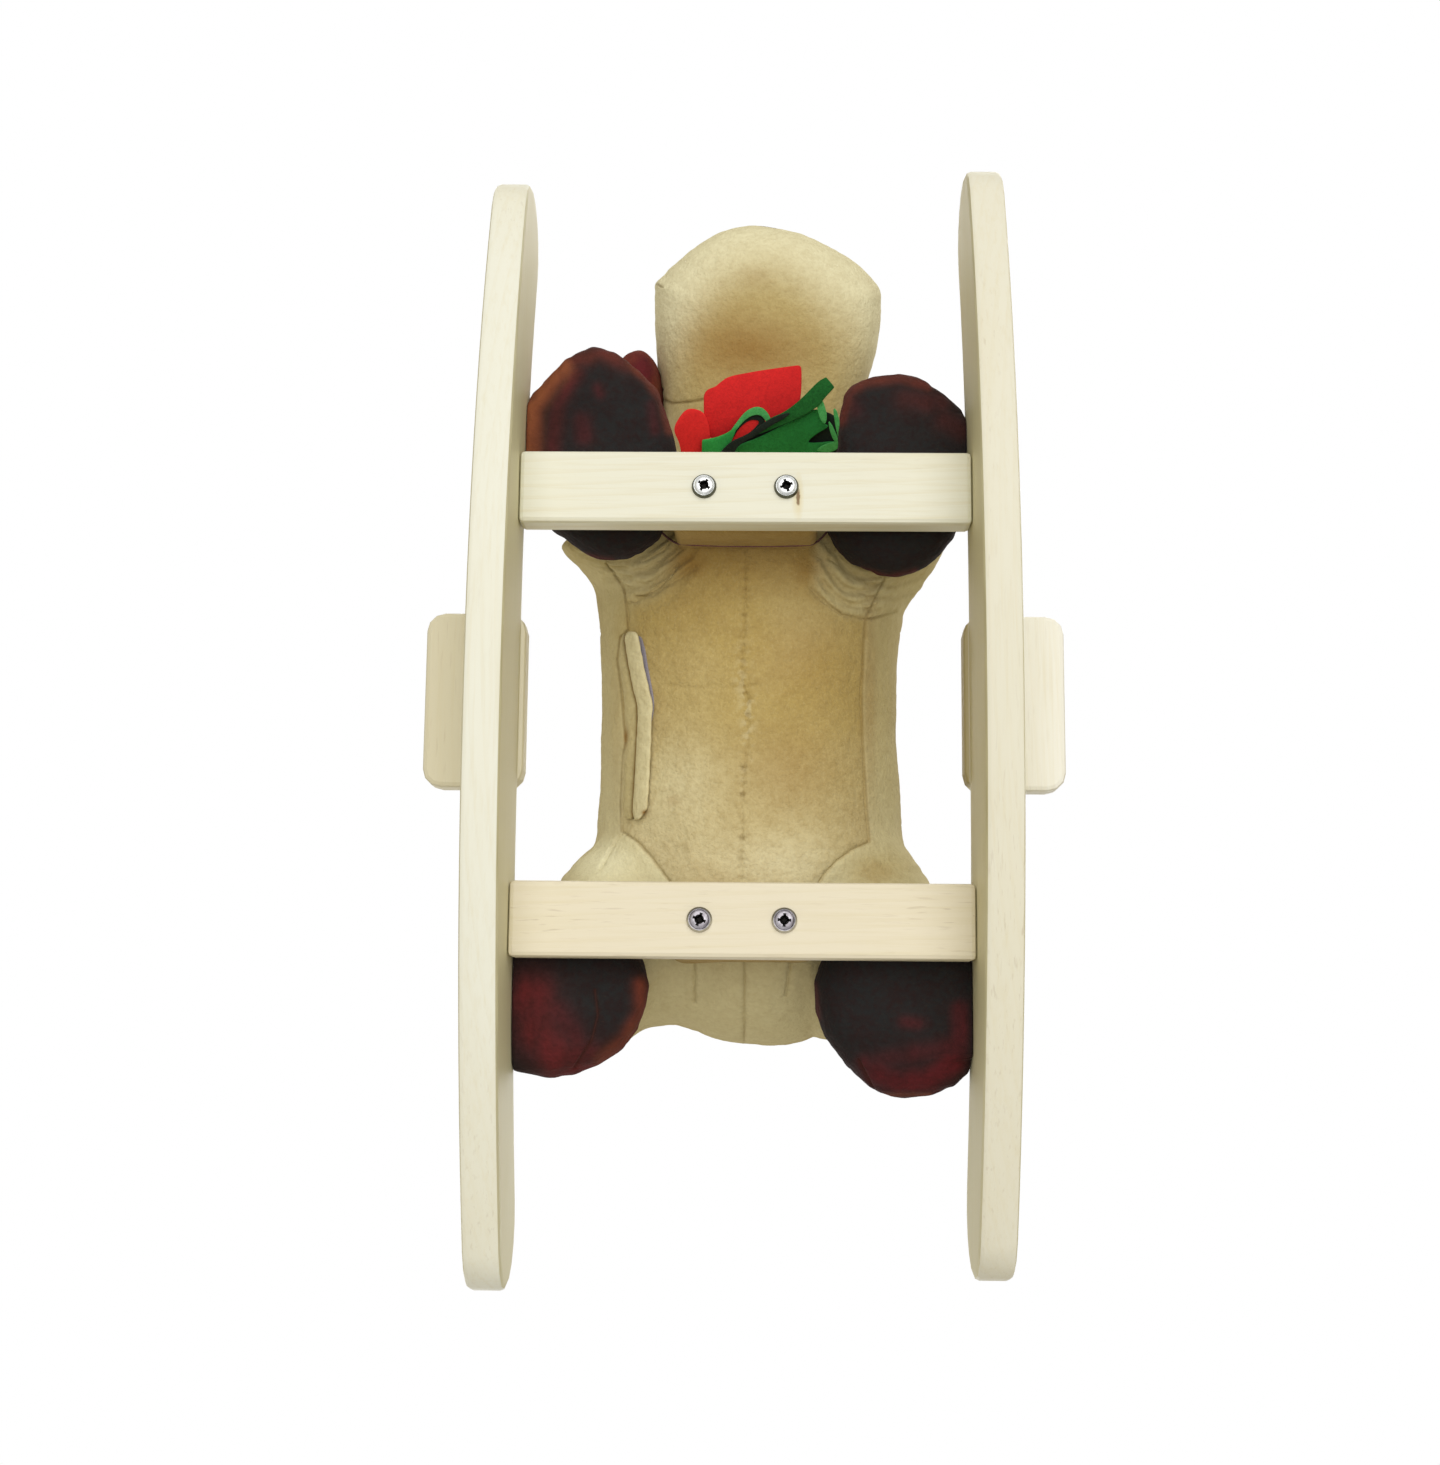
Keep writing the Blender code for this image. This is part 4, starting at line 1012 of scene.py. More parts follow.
# Marks on the underside: (pixel, reach across, reach down, amount). The two long ones beside the side seams are
# painted shade, the small brown ones are stains
dirtAndShade = [
    ((673, 800), 6, 5, 0.35), ((644.5, 812.5), 2.6, 2.4, 0.95), ((625.5, 737), 2.0, 8.0, 0.8),
    ((640, 660), 60, 22, 0.06), ((869, 690), 8, 110, 0.36), ((617, 720), 6, 100, 0.16),
    ((692, 590), 42, 40, 0.18), ((806, 655), 48, 48, 0.24), ((790, 768), 46, 42, 0.30),
    ((690, 562), 26, 20, 0.60), ((806, 566), 22, 26, 0.50),
]
paleSpots = [
    ((600, 862), 46, 34, 1.0), ((655, 870), 26, 18, 0.5), ((630, 572), 40, 28, 0.26),
    ((876, 590), 40, 28, 0.20),
]
# Painted shade in the folds at the hips
hipFoldShade = [((655, 575), 30, 26, 0.27), ((850, 590), 30, 26, 0.27), ((878, 872), 34, 20, 0.62)]
points = pointsOf(body.data)
spots = pixelsOf(points)
across, down = spots.T
facing = facingShare(body.data)
broken = 0.85 + 0.45 * noiseAt(points * (70, 70, 0) + (0, 0, 8.0))
stitches = np.clip(np.sin(down * 2 * math.pi / 7.0 + across * 0.5), 0, 1) * broken
shades = [
    near(seamGap, 2.2) * np.clip(0.02 + pucker * 0.9, 0.0, 0.4),
    near(linesGap(spots, [bellyMiddle]), 1.0) * (0.07 + 0.24 * stitches),
    near(linesGap(spots, [bellyCrease]), 1.6) * broken * 0.10,
    near(linesGap(spots, foldLines), 2.2) * broken * 0.16,
]
for name, line in bodySeams.items():
    shades.append(near(linesGap(spots, [line]), 1.2) * bodySeamShades[name] * broken)
seamShade = near(topSeams(points, normalsOf(body.data)), 0.0009) * 0.45 * broken
seamShade = np.maximum(seamShade, np.max(shades, axis=0) * facing)
edge = linesGap(spots, [bellyPanel + bellyPanel[:1]])
blur = np.where((across < 690) & (down < 640), 14.0, np.where(down < 640, 5.0, 1.5))
panel = (0.5 + np.where(insidePolygon(spots, bellyPanel), edge, -edge) / blur / 2).clip(0, 1)
panel = np.maximum(panel, marks(spots, hipFoldShade)) * (facing > 0.3) * (points[:, 2] < seenUnder)
under = np.clip(facing * 1.5, 0, 1) * (points[:, 2] < seenUnder)
chest = easeIn(down, 620, 555) * easeIn(np.abs(across - 745), 100, 30) * 0.32
cloud = noiseAt(points * (22, 22, 0) + (0, 0, 5.0)) * (panel > 0.5)
rubbed = np.maximum(marks(spots, dirtAndShade), chest) * under
rubbed = np.maximum(rubbed, np.clip(-cloud, 0, 1) * 0.25)
fleck = noiseAt(points * (260, 260, 0) + (0, 0, 11.0))
faded = easeIn(down, 690, 880) * 0.36 + easeIn(across, 690, 640) * easeIn(down, 600, 680) * 0.12
faded += marks(spots, [((682, 780), 46, 80, 0.20)]) + marks(spots, [((765, 862), 70, 26, 0.16)])
faded = np.maximum(faded, marks(spots, paleSpots))
faded = np.maximum(faded, near(seamGap, 9.0) * np.clip(fleck * 2.2, 0, 0.30) * easeIn(down, 600, 720))
faded = (faded + np.clip(cloud, 0, 1) * 0.22) * (1 - marks(spots, [((875, 868), 32, 20, 0.6)]))
faded = np.where(down > 940, 0.27, faded) * facing
carry(body.data, seam=seamShade, panel=panel, faded=faded, rubbed=rubbed)
legs = [f"leg_{end}_{side}" for end, side in feet]
dress(body, mainBody, ["body", "neck", *legs], creamPlush)
print("body sewn", len(body.data.vertices))

# Closure: a padded flap over a slit in the belly, a narrower welt beside it, and lilac lining
# under both. The edges are in the photograph's pixels, laid on the belly
closure = {
    "closure_flap_lip": {
        "left": [
            (626, 631.5), (624.5, 641), (628, 663), (632.5, 686), (637, 704), (637.5, 723), (636.5, 744),
            (635, 769), (633.5, 794), (632.5, 812), (634, 820),
        ],
        "right": [
            (637, 631.5), (640, 643), (642.5, 656), (646.5, 677), (650.5, 693), (653, 706), (652, 723),
            (651, 748), (650, 769), (648.7, 794), (647.5, 808), (640, 820),
        ],
        "lift": 0.0022, "thick": 0.0034, "body": "closure_flap", "shade": 0.0, "stations": 90,
    },
    "closure_welt": {
        "left": [
            (622, 634), (619.5, 650), (619, 663), (622, 681), (624, 702), (625, 723), (627, 741),
            (624.5, 757), (623.5, 780), (622.5, 801), (625, 819),
        ],
        "right": [
            (632, 634), (631, 670), (636, 692), (639, 710), (638, 738), (637, 768), (636, 803), (634, 819),
        ],
        "lift": 0.0002, "thick": 0.0030, "body": mainBody, "shade": 0.5, "stations": 90,
    },
    "closure_lining": {
        "left": [(634, 636), (636, 670), (642, 700), (640, 760), (638, 806)],
        "right": [
            (641.5, 636), (645.5, 650), (648.3, 668), (652, 687), (654.3, 700), (654, 712), (651, 725),
            (649, 768), (644, 806),
        ],
        "lift": 0.0000, "thick": 0.0008, "body": mainBody, "shade": 0.0, "stations": 60,
    },
}
leastSide = 0.0105  # of a sheet as cut flat
bodyTree = treeOf(body.data)


def areaOf(mesh):
    return sum(face.area for face in mesh.polygons)


def onBody(across, down):
    # The place on the plush under a pixel, and the way back to the camera
    way = Vector(rayOf(across, down)).normalized()
    return bodyTree.ray_cast(Vector(cameraPlace), way)[0], -way


def paddedStrip(name, look, ring=18):
    leftX, leftY = np.array(look["left"], float).T
    rightX, rightY = np.array(look["right"], float).T
    top, bottom = leftY[0], leftY[-1]
    build = bmesh.new()
    loops = []
    for share in (1 - np.cos(np.linspace(0.06, math.pi - 0.06, look["stations"]))) / 2:
        down = top + (bottom - top) * share
        a, b = np.interp(down, leftY, leftX), np.interp(down, rightY, rightX)
        tip = min(down - top, bottom - down)
        full = math.sqrt(max(0.0, 1 - max(0.0, 1 - tip / 4.5) ** 2))
        half = (b - a) / 2 * (0.45 + 0.55 * full)
        puff = 1 + 0.22 * noise.noise(Vector((down * 0.045, a * 0.01, 2.0)))
        loop = []
        for angle in 2 * math.pi * np.arange(ring) / ring:
            side = math.copysign(abs(math.cos(angle)) ** 0.75, math.cos(angle))
            rise = max(0.0, math.sin(angle)) ** 0.8 * look["thick"] * (0.3 + 0.7 * full) * puff
            rise += 0.0004 if math.sin(angle) > 0 else 0.0
            spot, back = onBody((a + b) / 2 + side * half, down)
            loop.append(build.verts.new(spot + back * (look["lift"] + rise)))
        loops.append(loop)
    bridge(build, loops)
    for loop in (loops[0], loops[-1]):
        build.faces.new(loop)
    return finer(newPiece(name, meshFrom(name, build)))


for name, look in closure.items():
    strip = paddedStrip(name, look)
    finish = lilacLining
    if name != "closure_lining":
        finish = creamPlush
        roughened(strip, (0.005, 0.00035, 70.0))
        spots = pixelsOf(pointsOf(strip.data))
        lipShade = near(linesGap(spots, [closure["closure_flap_lip"]["left"]]), 2.2) * look["shade"] * 1.8
        stains = marks(spots, [((644.5, 812.5), 3.0, 2.4, 1.0), ((626, 737), 2.0, 8.0, 1.0)])
        carry(strip.data, seam=lipShade, panel=0.25, faded=0.46 - look["shade"] * 0.6, rubbed=stains)
    replaced = ["closure_flap"] if look["body"] == "closure_flap" else ()
    dress(strip, look["body"], replaced, finish)
    area = areaOf(strip.data) / 2
    long = np.ptp(pointsOf(strip.data)[:, 1])
    flat = (max(area / long, leastSide), long)
print("closure made")

# Head
headSet = {
    "voxel": 0.0042, "soften": 3, "pressure": 4.0, "cap": 0.005, "drawIn": 0.003, "earSeat": (0.022, 0.018),
    "earSunk": 0.0048,
}
# Each ear: where its seam is, how far it comes forward, and how plump it is
earSpots = {
    "left": ((-0.0590, -0.2530, 0.3930), 0.013, 1.70),
    "right": ((0.0820, -0.2370, 0.3930), -0.004, 1.15),
}
headOutline = [
    (704, 500), (676, 470), (664, 443), (661.5, 411), (658.5, 385), (656.5, 365), (656, 350), (654.5, 320),
    (654, 295), (654.5, 283), (660, 277), (673, 265), (690, 250.5), (705, 240), (720, 232), (736, 227.5),
    (753, 225.5), (768, 227), (785, 230), (801, 234), (815, 240), (834, 249.5), (850, 258), (862, 267),
    (872, 277), (879, 286), (882, 295), (881.5, 310), (881, 325), (877, 352), (868, 380), (860, 405),
    (848, 450), (835, 500),
]
headCentre = (768, 325)
# The chin's seam, and a pinch at the side
headSeams = [[(656, 398), (672, 403), (690, 402), (712, 398)], [(652, 281), (661, 287)]]
# Brown marks on the head, part stain, part painted shade
stainAndShadeMarks = (((752, 352), 66, 30, 0.62), ((730, 330), 40, 30, 0.15), ((755, 276), 14, 9, 0.20))


def faceSeams(points, normals):
    # Over the middle of the head, and round it behind the muzzle
    y, z = points[:, 1] - rowShift, points[:, 2]
    middle = np.where((z > 0.345) & (normals[:, 2] > -0.2), np.abs(points[:, 0] - headX), 1.0)
    ring = np.where(z > 0.318, np.abs(y + 0.262 + 0.25 * (z - 0.318)), 1.0)
    return np.minimum(middle, ring)


head = stuffed(stuffedForm("plush_head", headLine, 14, 2.6, 2.3, (headX, 0, 0)), headSet)
fitToOutline(head.data, headOutline, headCentre)
eased(head.data, 2)
finer(head)
fitToOutline(head.data, headOutline, headCentre, 2, 1.2, 120)
eased(head.data, 2)

# The head swells to the root of each ear, where it is sewn on
points = pointsOf(head.data)
for side, ((x, y, z), *_) in earSpots.items():
    out = sides[side]
    away = (points[:, 1:] - (y + rowShift, z)) / headSet["earSeat"]
    share = np.exp(-(away ** 2).sum(axis=1)) * ((points[:, 0] - headX) * out > 0.02)
    points[:, 0] += ((x - points[:, 0]) * out - headSet["earSunk"]).clip(0) * share * out
movePoints(head.data, points)
sewnByPlace(head, faceSeams)
sewnInPicture(head, headSeams, 1.5, 0.0013)
roughened(head, (0.040, 0.0010, 14.0), (0.0045, 0.0003, 19.0))
points, normals = pointsOf(head.data), normalsOf(head.data)
spots = pixelsOf(points)
facing = facingShare(head.data)
seamShade = np.maximum(near(linesGap(spots, headSeams), 1.5) * facing, near(faceSeams(points, normals), 0.0009))
stainAndShade = sum(marks(spots, [mark]) for mark in stainAndShadeMarks)
rim = np.linalg.norm((spots - (762, 395)) / (112, 168), axis=1) - marks(spots, [((866, 320), 34, 60, 0.14)])
ahead = easeIn(-points[:, 1] + rowShift, 0.245, 0.30)
# Painted light and shade: the head darker low down, its rim lighter towards the front of the muzzle, and the
# brown marks only on faces that look down
carry(
    head.data, seam=seamShade * 0.5, panel=easeIn(0.350 - points[:, 2], 0.0, 0.04) * 0.55,
    faded=easeIn(rim, 0.52, 1.0) * 0.85 * easeIn(-points[:, 2], -0.385, -0.335) * (0.35 + 0.65 * ahead),
    rubbed=stainAndShade * facing * easeIn(-normals[:, 2], -0.1, 0.4),
)
dress(head, mainBody, ["head"], creamPlush)
print("head sewn", len(head.data.vertices))

# Face: two satin-stitched nostrils and a sewn mouth, on the front of the muzzle
faceSet = {
    "nostrilSide": 0.027, "nostrilZ": 0.337, "nostrilWide": 0.0085, "nostrilHigh": 0.0062,
    "mouthHalf": 0.034, "mouthZ": 0.3115, "thread": 0.0011, "threadOut": 0.0004,
}
headTree = treeOf(head.data)


def onFace(x, z):
    return headTree.ray_cast(Vector((x, -1.0, z)), Vector((0, 1, 0)))[:2]


def threadTube(name, spots, radius, material):
    # Sewing thread or piping along a row of places
    curve = bpy.data.curves.new(name, "CURVE")
    curve.dimensions = "3D"
    curve.bevel_depth = radius
    curve.bevel_resolution = 2
    curve.use_fill_caps = True
    line = curve.splines.new("POLY")
    line.points.add(len(spots) - 1)
    for point, spot in zip(line.points, spots):
        point.co = (*spot, 1)
    made = newPiece(name, curve)
    bpy.context.view_layer.update()
    mesh = bpy.data.meshes.new_from_object(made.evaluated_get(bpy.context.evaluated_depsgraph_get()))
    bpy.data.objects.remove(made)
    dress(newPiece(name, mesh), mainBody, (), material)


for side, out in sides.items():
    build = bmesh.new()
    loops = []
    for share in np.linspace(0, 1, 13):
        loop = []
        for angle in 2 * math.pi * np.arange(28) / 28:
            across = math.cos(angle) * share * faceSet["nostrilWide"]
            rise = math.sin(angle) * share * faceSet["nostrilHigh"]
            x = headX + out * faceSet["nostrilSide"] + across - rise * 0.35 * out
            spot, normal = onFace(x, faceSet["nostrilZ"] + rise)
            lift = 0.0022 * (1 - share ** 3) - 0.0008 * share
            lift += 0.00035 * math.sin(across / 0.00042) * (1 - share)
            loop.append(build.verts.new(spot + normal * lift))
        loops.append(loop)
    bridge(build, loops)
    bmesh.ops.remove_doubles(build, verts=build.verts, dist=1e-6)
    build.faces.new(loops[-1][::-1])
    nostril = newPiece("nostril_" + side, meshFrom("nostril_" + side, build))
    dress(nostril, mainBody, (), brownThread)
mouthLine = [
    (headX + share * faceSet["mouthHalf"], faceSet["mouthZ"] + 0.008 * share ** 2)
    for share in np.linspace(-1, 1, 41)
]
lipLine = [(headX, z) for z in np.linspace(faceSet["mouthZ"], 0.328, 14)]
for name, line, width in (("mouth_thread", mouthLine, 1.0), ("lip_thread", lipLine, 0.8)):
    found = [onFace(x, z) for x, z in line]
    spots = [spot + normal * faceSet["threadOut"] for spot, normal in found]
    threadTube(name, spots, faceSet["thread"] * width, brownThread)
print("face sewn")

# Sleeves over the posts, between the belly and the crossbars
sleeveSet = {"intoBelly": 0.016, "rounded": 0.007, "voxel": 0.003}
for end in ends:
    name = "post_sleeve_cover_" + end
    low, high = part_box("post_sleeve_" + end)
    high = high + Vector((0, 0, sleeveSet["intoBelly"]))
    build = bmesh.new()
    place = Matrix.Translation((low + high) / 2) @ Matrix.Diagonal((*(high - low), 1))
    bmesh.ops.create_cube(build, size=1.0, matrix=place)
    sleeve = modify(newPiece(name, meshFrom(name, build)), "BEVEL", width=sleeveSet["rounded"], segments=4)
    evenMesh(bakeModifiers(sleeve), sleeveSet["voxel"])
    eased(sleeve.data, 2)
    roughened(sleeve, (0.020, 0.0008, 30.0 + ends[end]))
    clearOfWood(sleeve.data, [((-0.2, -1, 0), (0.2, 1, low.z), 2, True)])
    # Painted shade: the sleeves are darker, as they sit in the crossbars' shadow
    carry(sleeve.data, panel=0.7, rubbed=0.45)
    dress(sleeve, mainBody, ["post_sleeve_" + end], creamPlush)

# Brown piping where the front sleeve meets the belly
pipingLine = [
    (660, 531), (668, 538.5), (677, 544), (700, 545.5), (745, 546.5), (790, 546), (812, 545), (820, 540),
    (827, 532),
]
pipingRadius = 0.0006
sleeveTree = treeOf(bpy.data.objects["post_sleeve_cover_front"].data)
piping = []
for place in np.linspace(0, len(pipingLine) - 1, 70):
    across, down = (np.interp(place, range(len(pipingLine)), line) for line in np.array(pipingLine).T)
    spot, back = onBody(across, down)
    met = sleeveTree.ray_cast(Vector(cameraPlace), -back)[0]
    if met is not None and (met - Vector(cameraPlace)).length < (spot - Vector(cameraPlace)).length:
        spot = met
    piping.append(tuple(spot))
piping = np.array(piping)
for _ in range(6):
    piping[1:-1] = (piping[:-2] + piping[1:-1] * 2 + piping[2:]) / 4
threadTube("sleeve_piping_front", piping - (0, 0, pipingRadius / 2), pipingRadius, plumThread)
print("sleeves made")

# Feet: brown boots, pressed between the crossbar and the rocker
footSet = {"voxel": 0.0036, "soften": 0, "pressure": 4.0, "cap": 0.005, "drawIn": 0.0025, "gap": 0.0004}
# Painted sheen: redder lines, mostly along the edges where the nap catches the light, partly the nap's own
# streaks: (line of pixels, reach, amount, warmth)
footSheenAndNap = {
    ("front", "left"): [
        ([(529, 448), (530, 408), (546, 384), (562, 367)], 11, 1.0, 0.9),
        ([(553, 448), (558, 405), (576, 372)], 8, 0.65, 0.05),
        ([(568, 362), (600, 351), (628, 363)], 9, 0.75, 0.2),
        ([(628, 363), (648, 380), (662, 400), (670, 430)], 5, 0.8, 0.35),
        ([(582, 420), (584, 436)], 9, 0.55, 0.0), ([(597, 388), (600, 394)], 6, 0.4, 0.0),
        ([(652, 405), (655, 430)], 6, 0.4, 0.0),
        ([(585, 556), (612, 560)], 3, 0.5, 0.1),
    ],
    ("front", "right"): [
        ([(841, 420), (848, 392), (864, 382), (900, 377), (928, 386)], 6, 0.75, 0.25),
        ([(905, 400), (940, 402)], 12, 0.35, 0.1),
        ([(850, 400), (856, 410)], 8, 0.35, 0.0), ([(945, 420), (962, 430)], 12, 0.3, 0.1),
        ([(862, 570), (890, 577), (915, 571)], 3, 0.5, 0.1),
    ],
    ("rear", "left"): [
        ([(530, 995), (536, 1030), (560, 1062), (585, 1064)], 24, 0.95, 0.04),
        ([(556, 1010), (575, 1040)], 14, 0.6, 0.0),
        ([(641, 985), (642, 1012), (626, 1040), (600, 1060)], 8, 0.95, 0.35),
    ],
    ("rear", "right"): [
        ([(876, 1072), (900, 1082), (930, 1080), (954, 1062)], 14, 1.0, 0.0),
        ([(960, 1056), (962, 1030), (960, 1008)], 8, 0.7, 0.0),
        ([(904, 1022), (918, 1024)], 7, 0.45, 0.0), ([(866, 1064), (946, 1048)], 11, 0.55, 0.0),
        ([(815, 985), (818, 1018)], 3, 0.5, 0.1),
        ([(884, 1095), (930, 1095)], 2.5, 0.6, 0.5),
    ],
}
footOutlines = {
    ("front", "left"): [
        (524, 449), (524, 430), (526, 403), (530, 395), (548, 376), (564, 359), (580, 350), (594, 346.5),
        (612, 350.5), (628, 359), (643.5, 373), (659.5, 392), (669, 419), (676, 449), (679, 480), (674, 510),
        (663.5, 534), (659, 541), (643.5, 552.5), (628, 559), (612, 560.5), (596, 559.5), (580, 552),
        (564, 539), (552.5, 531), (536, 510), (527, 480),
    ],
    ("front", "right"): [
        (838, 449), (837, 430), (838, 415), (843, 395), (850, 387), (862, 380), (873, 376.5), (885, 375),
        (900, 374.5), (912, 377), (925, 381), (945, 395), (962, 411), (967, 425), (968, 449), (968, 490),
        (963, 520), (957, 535), (940, 556), (928, 566), (915, 572), (902, 576), (890, 577), (878, 576),
        (870, 573), (850, 563), (835, 548), (826, 532), (822, 505), (828, 475),
    ],
    ("rear", "left"): [
        (513, 965), (513, 1040), (516, 1069), (530, 1076), (550, 1078.5), (575, 1074), (600, 1065),
        (622, 1050), (638, 1030), (647, 1005), (649.5, 985), (645, 965), (636, 935), (615, 912), (580, 902),
        (545, 906), (522, 925), (514, 945),
    ],
    ("rear", "right"): [
        (819, 965), (814, 985), (816, 1010), (825, 1035), (845, 1065), (870, 1088), (884, 1095),
        (900, 1097.5), (930, 1096), (955, 1085), (970, 1070), (974.5, 1055), (975, 965), (970, 930),
        (952, 905), (920, 892), (885, 890), (850, 902), (830, 930),
    ],
}
footSeams = {
    ("rear", "left"): [[(595, 990), (598, 1015), (592, 1040), (575, 1068)]],
    ("rear", "right"): [[(858, 1060), (872, 1088)]],
}
# Where each lies flat against its rocker: first and last row of the photograph, reach, lowest height
footPressed = {
    ("front", "left"): (398, 500, 0.010, 0.072), ("front", "right"): (413, 520, 0.010, 0.072),
    ("rear", "left"): (940, 1070, 0.010, 0.072), ("rear", "right"): (925, 1056, 0.028, 0.062),
}


def pressed(mesh, wallX, share):
    points = pointsOf(mesh)
    points[:, 0] += (wallX - points[:, 0]) * share
    movePoints(mesh, points)


for (end, side), (x, y, *_) in feet.items():
    form = stuffedForm(f"plush_foot_{end}_{side}", footLine(end, side), 12, 3.4, 2.2, levels=3)
    foot = stuffed(form, footSet)
    barLow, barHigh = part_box("crossbar_" + end)
    rockerLow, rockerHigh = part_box("rocker_" + side)
    gap = footSet["gap"]
    bar = ((-1, barLow.y - gap, 0), (1, barHigh.y + gap, barHigh.z + gap), 2, True)
    if side == "left":
        wallX = rockerHigh.x + gap
        wall = ((-1, -1, -1), (wallX, 1, 1), 0, True)
    else:
        wallX = rockerLow.x - gap
        wall = ((wallX, -1, -1), (1, 1, 1), 0, False)
    outline = footOutlines[(end, side)]
    centre = np.mean(outline, axis=0)
    outline = outline + outline[:1]
    fitToOutline(foot.data, outline, centre)
    clearOfWood(foot.data, [wall, bar])
    eased(foot.data, 2)
    finer(foot)
    fitToOutline(foot.data, outline, centre, 2, 1.12, 90)
    points = pointsOf(foot.data)
    down = pixelsOf(points)[:, 1]
    begin, finish, reach, low = footPressed[(end, side)]
    flat = easeIn(-np.abs(points[:, 0] - wallX), -reach, -reach * 0.35)
    flat *= easeIn(down, begin, begin + 6) * easeIn(-down, -finish - 6, -finish)
    flat *= easeIn(points[:, 2], low - 0.004, low + 0.005)
    flat *= easeIn(-points[:, 2], -footTop, -footTop + 0.005)
    pressed(foot.data, wallX, flat)
    eased(foot.data, 1)
    roughened(foot, (0.022, 0.0012, x * 100), (0.0050, 0.0004, y * 100))
    clearOfWood(foot.data, [wall, bar])
    pressed(foot.data, wallX, flat)
    stitched = 0.0
    if (end, side) in footSeams:
        stitched = sewnInPicture(foot, footSeams[(end, side)], 1.6, 0.0014) * 0.6
    points = pointsOf(foot.data)
    spots = pixelsOf(points)
    sheenAndNap, warmSheen = np.zeros((2, len(points)))
    for line, reach, amount, warmth in footSheenAndNap[(end, side)]:
        share = near(linesGap(spots, [line]), reach) * amount
        sheenAndNap = np.maximum(sheenAndNap, share)
        warmSheen = np.maximum(warmSheen, share * warmth)
    streak = noiseAt(points * (160, 60, 90))
    # Painted shade: low down and away from the sheen lines each boot is near black
    under = easeIn(0.135 - points[:, 2], 0.0, 0.03)
    sheenAndNap = (sheenAndNap * (1 + streak * 0.35)).clip(0, 1)
    warmSheen *= (1 + streak * 0.4) * under
    carry(foot.data, seam=stitched, panel=under * (1 - sheenAndNap), rubbed=warmSheen)
    dress(foot, mainBody, [f"foot_{end}_{side}"], brownPlush)
print("feet made")

# Ears and tail, each on its own seam
earSet = {"voxel": 0.0026, "soften": 0, "pressure": 3.0, "cap": 0.0025, "drawIn": 0.001}
for side, (seamSpot, forward, plump) in earSpots.items():
    out = sides[side]
    earLine = [
        (0, 0, 0.006),
        (out * 0.001, 0, 0.001, 0.0055, 0.013),
        (out * 0.007, -forward * 0.3, -0.026, 0.0070 * plump, 0.023),
        (out * 0.012, -forward * 0.6, -0.054, 0.0085 * plump, 0.029),
        (out * 0.016, -forward * 0.9, -0.080, 0.0095 * plump, 0.027),
        (out * 0.019, -forward, -0.100, 0.0080 * plump, 0.017),
        (out * 0.020, -forward, -0.106),
    ]
    ear = finer(stuffed(stuffedForm("plush_ear_" + side, earLine, 8, shift=seamSpot), earSet))
    roughened(ear, (0.012, 0.0008, 50.0 + out))
    streak = noiseAt(pointsOf(ear.data) * (60, 60, 40))
    carry(ear.data, faded=0.16 + streak * 0.5, rubbed=0.08 + streak * 0.25)
    dress(ear, "ear_" + side, ["ear_" + side], brownPlush)

tailLine = [
    (0, -0.0068, 0.000),
    (0, -0.0050, 0.000, 0.0060, 0.0045),
    (0, 0.0000, 0.000, 0.0080, tailSet["rootRadius"]),
    (0, 0.0060, -0.002, 0.0085, 0.0058),
    (0, 0.013, -0.006, 0.010, 0.006),
    (0, 0.023, -0.017, 0.011, 0.006),
    (0, 0.029, -0.030, 0.008, 0.005),
    (0, 0.031, -0.037),
]
tailRoot = Vector(tailSet["root"]) - Vector((0, rowShift, 0))
tail = finer(evenMesh(stuffedForm("plush_tail", tailLine, 8, shift=tailRoot), tailSet["voxel"]))
roughened(tail, (0.006, 0.0006, 60.0))
carry(tail.data, rubbed=0.3)
dress(tail, "tail", ["tail"], brownPlush)
print("ears and tail made")


# Screws: turned heads with a cross recess, in pressed cup washers
def circle(radius, count):
    return [
        (radius * math.cos(angle), radius * math.sin(angle)) for angle in 2 * math.pi * np.arange(count) / count
    ]


def turnedMesh(name, profile, steps=48):
    build = bmesh.new()
    rings = [
        [build.verts.new((a, b, height)) for a, b in circle(radius, steps if radius else 1)]
        for radius, height in profile
    ]
    for inner, outer in zip(rings, rings[1:]):
        for step in range(steps):
            after = (step + 1) % steps
            corners = [
                inner[step % len(inner)], outer[step % len(outer)], outer[after % len(outer)],
                inner[after % len(inner)],
            ]
            kept = list(dict.fromkeys(corners))
            if len(kept) > 2:
                build.faces.new(kept)
    return meshFrom(name, build)


def recessed(mesh, corners, top, bottom, shrink):
    # Cuts a tapered recess with the given outline out of the top
    build = bmesh.new()
    upper = [build.verts.new((a, b, top)) for a, b in corners]
    lower = [build.verts.new((a * shrink, b * shrink, bottom)) for a, b in corners]
    bridge(build, [upper, lower])
    build.faces.new(upper)
    build.faces.new(lower[::-1])
    cutter = newPiece("recess", meshFrom("recess", build))
    blank = modify(newPiece("blank", mesh), "BOOLEAN", object=cutter, solver="EXACT")
    made = bakeModifiers(blank).data
    for piece in (blank, cutter):
        bpy.data.objects.remove(piece)
    return made


# A screw's head radius, the height of its dome, and its length
screwSet = {
    "bar": (0.00505, 0.0012, 0.050), "rest": (0.0047, 0.0002, 0.036), "shank": 0.0022, "slot": 0.00110,
    "slotReach": 0.0033, "depth": 0.0022, "taper": 0.45,
}


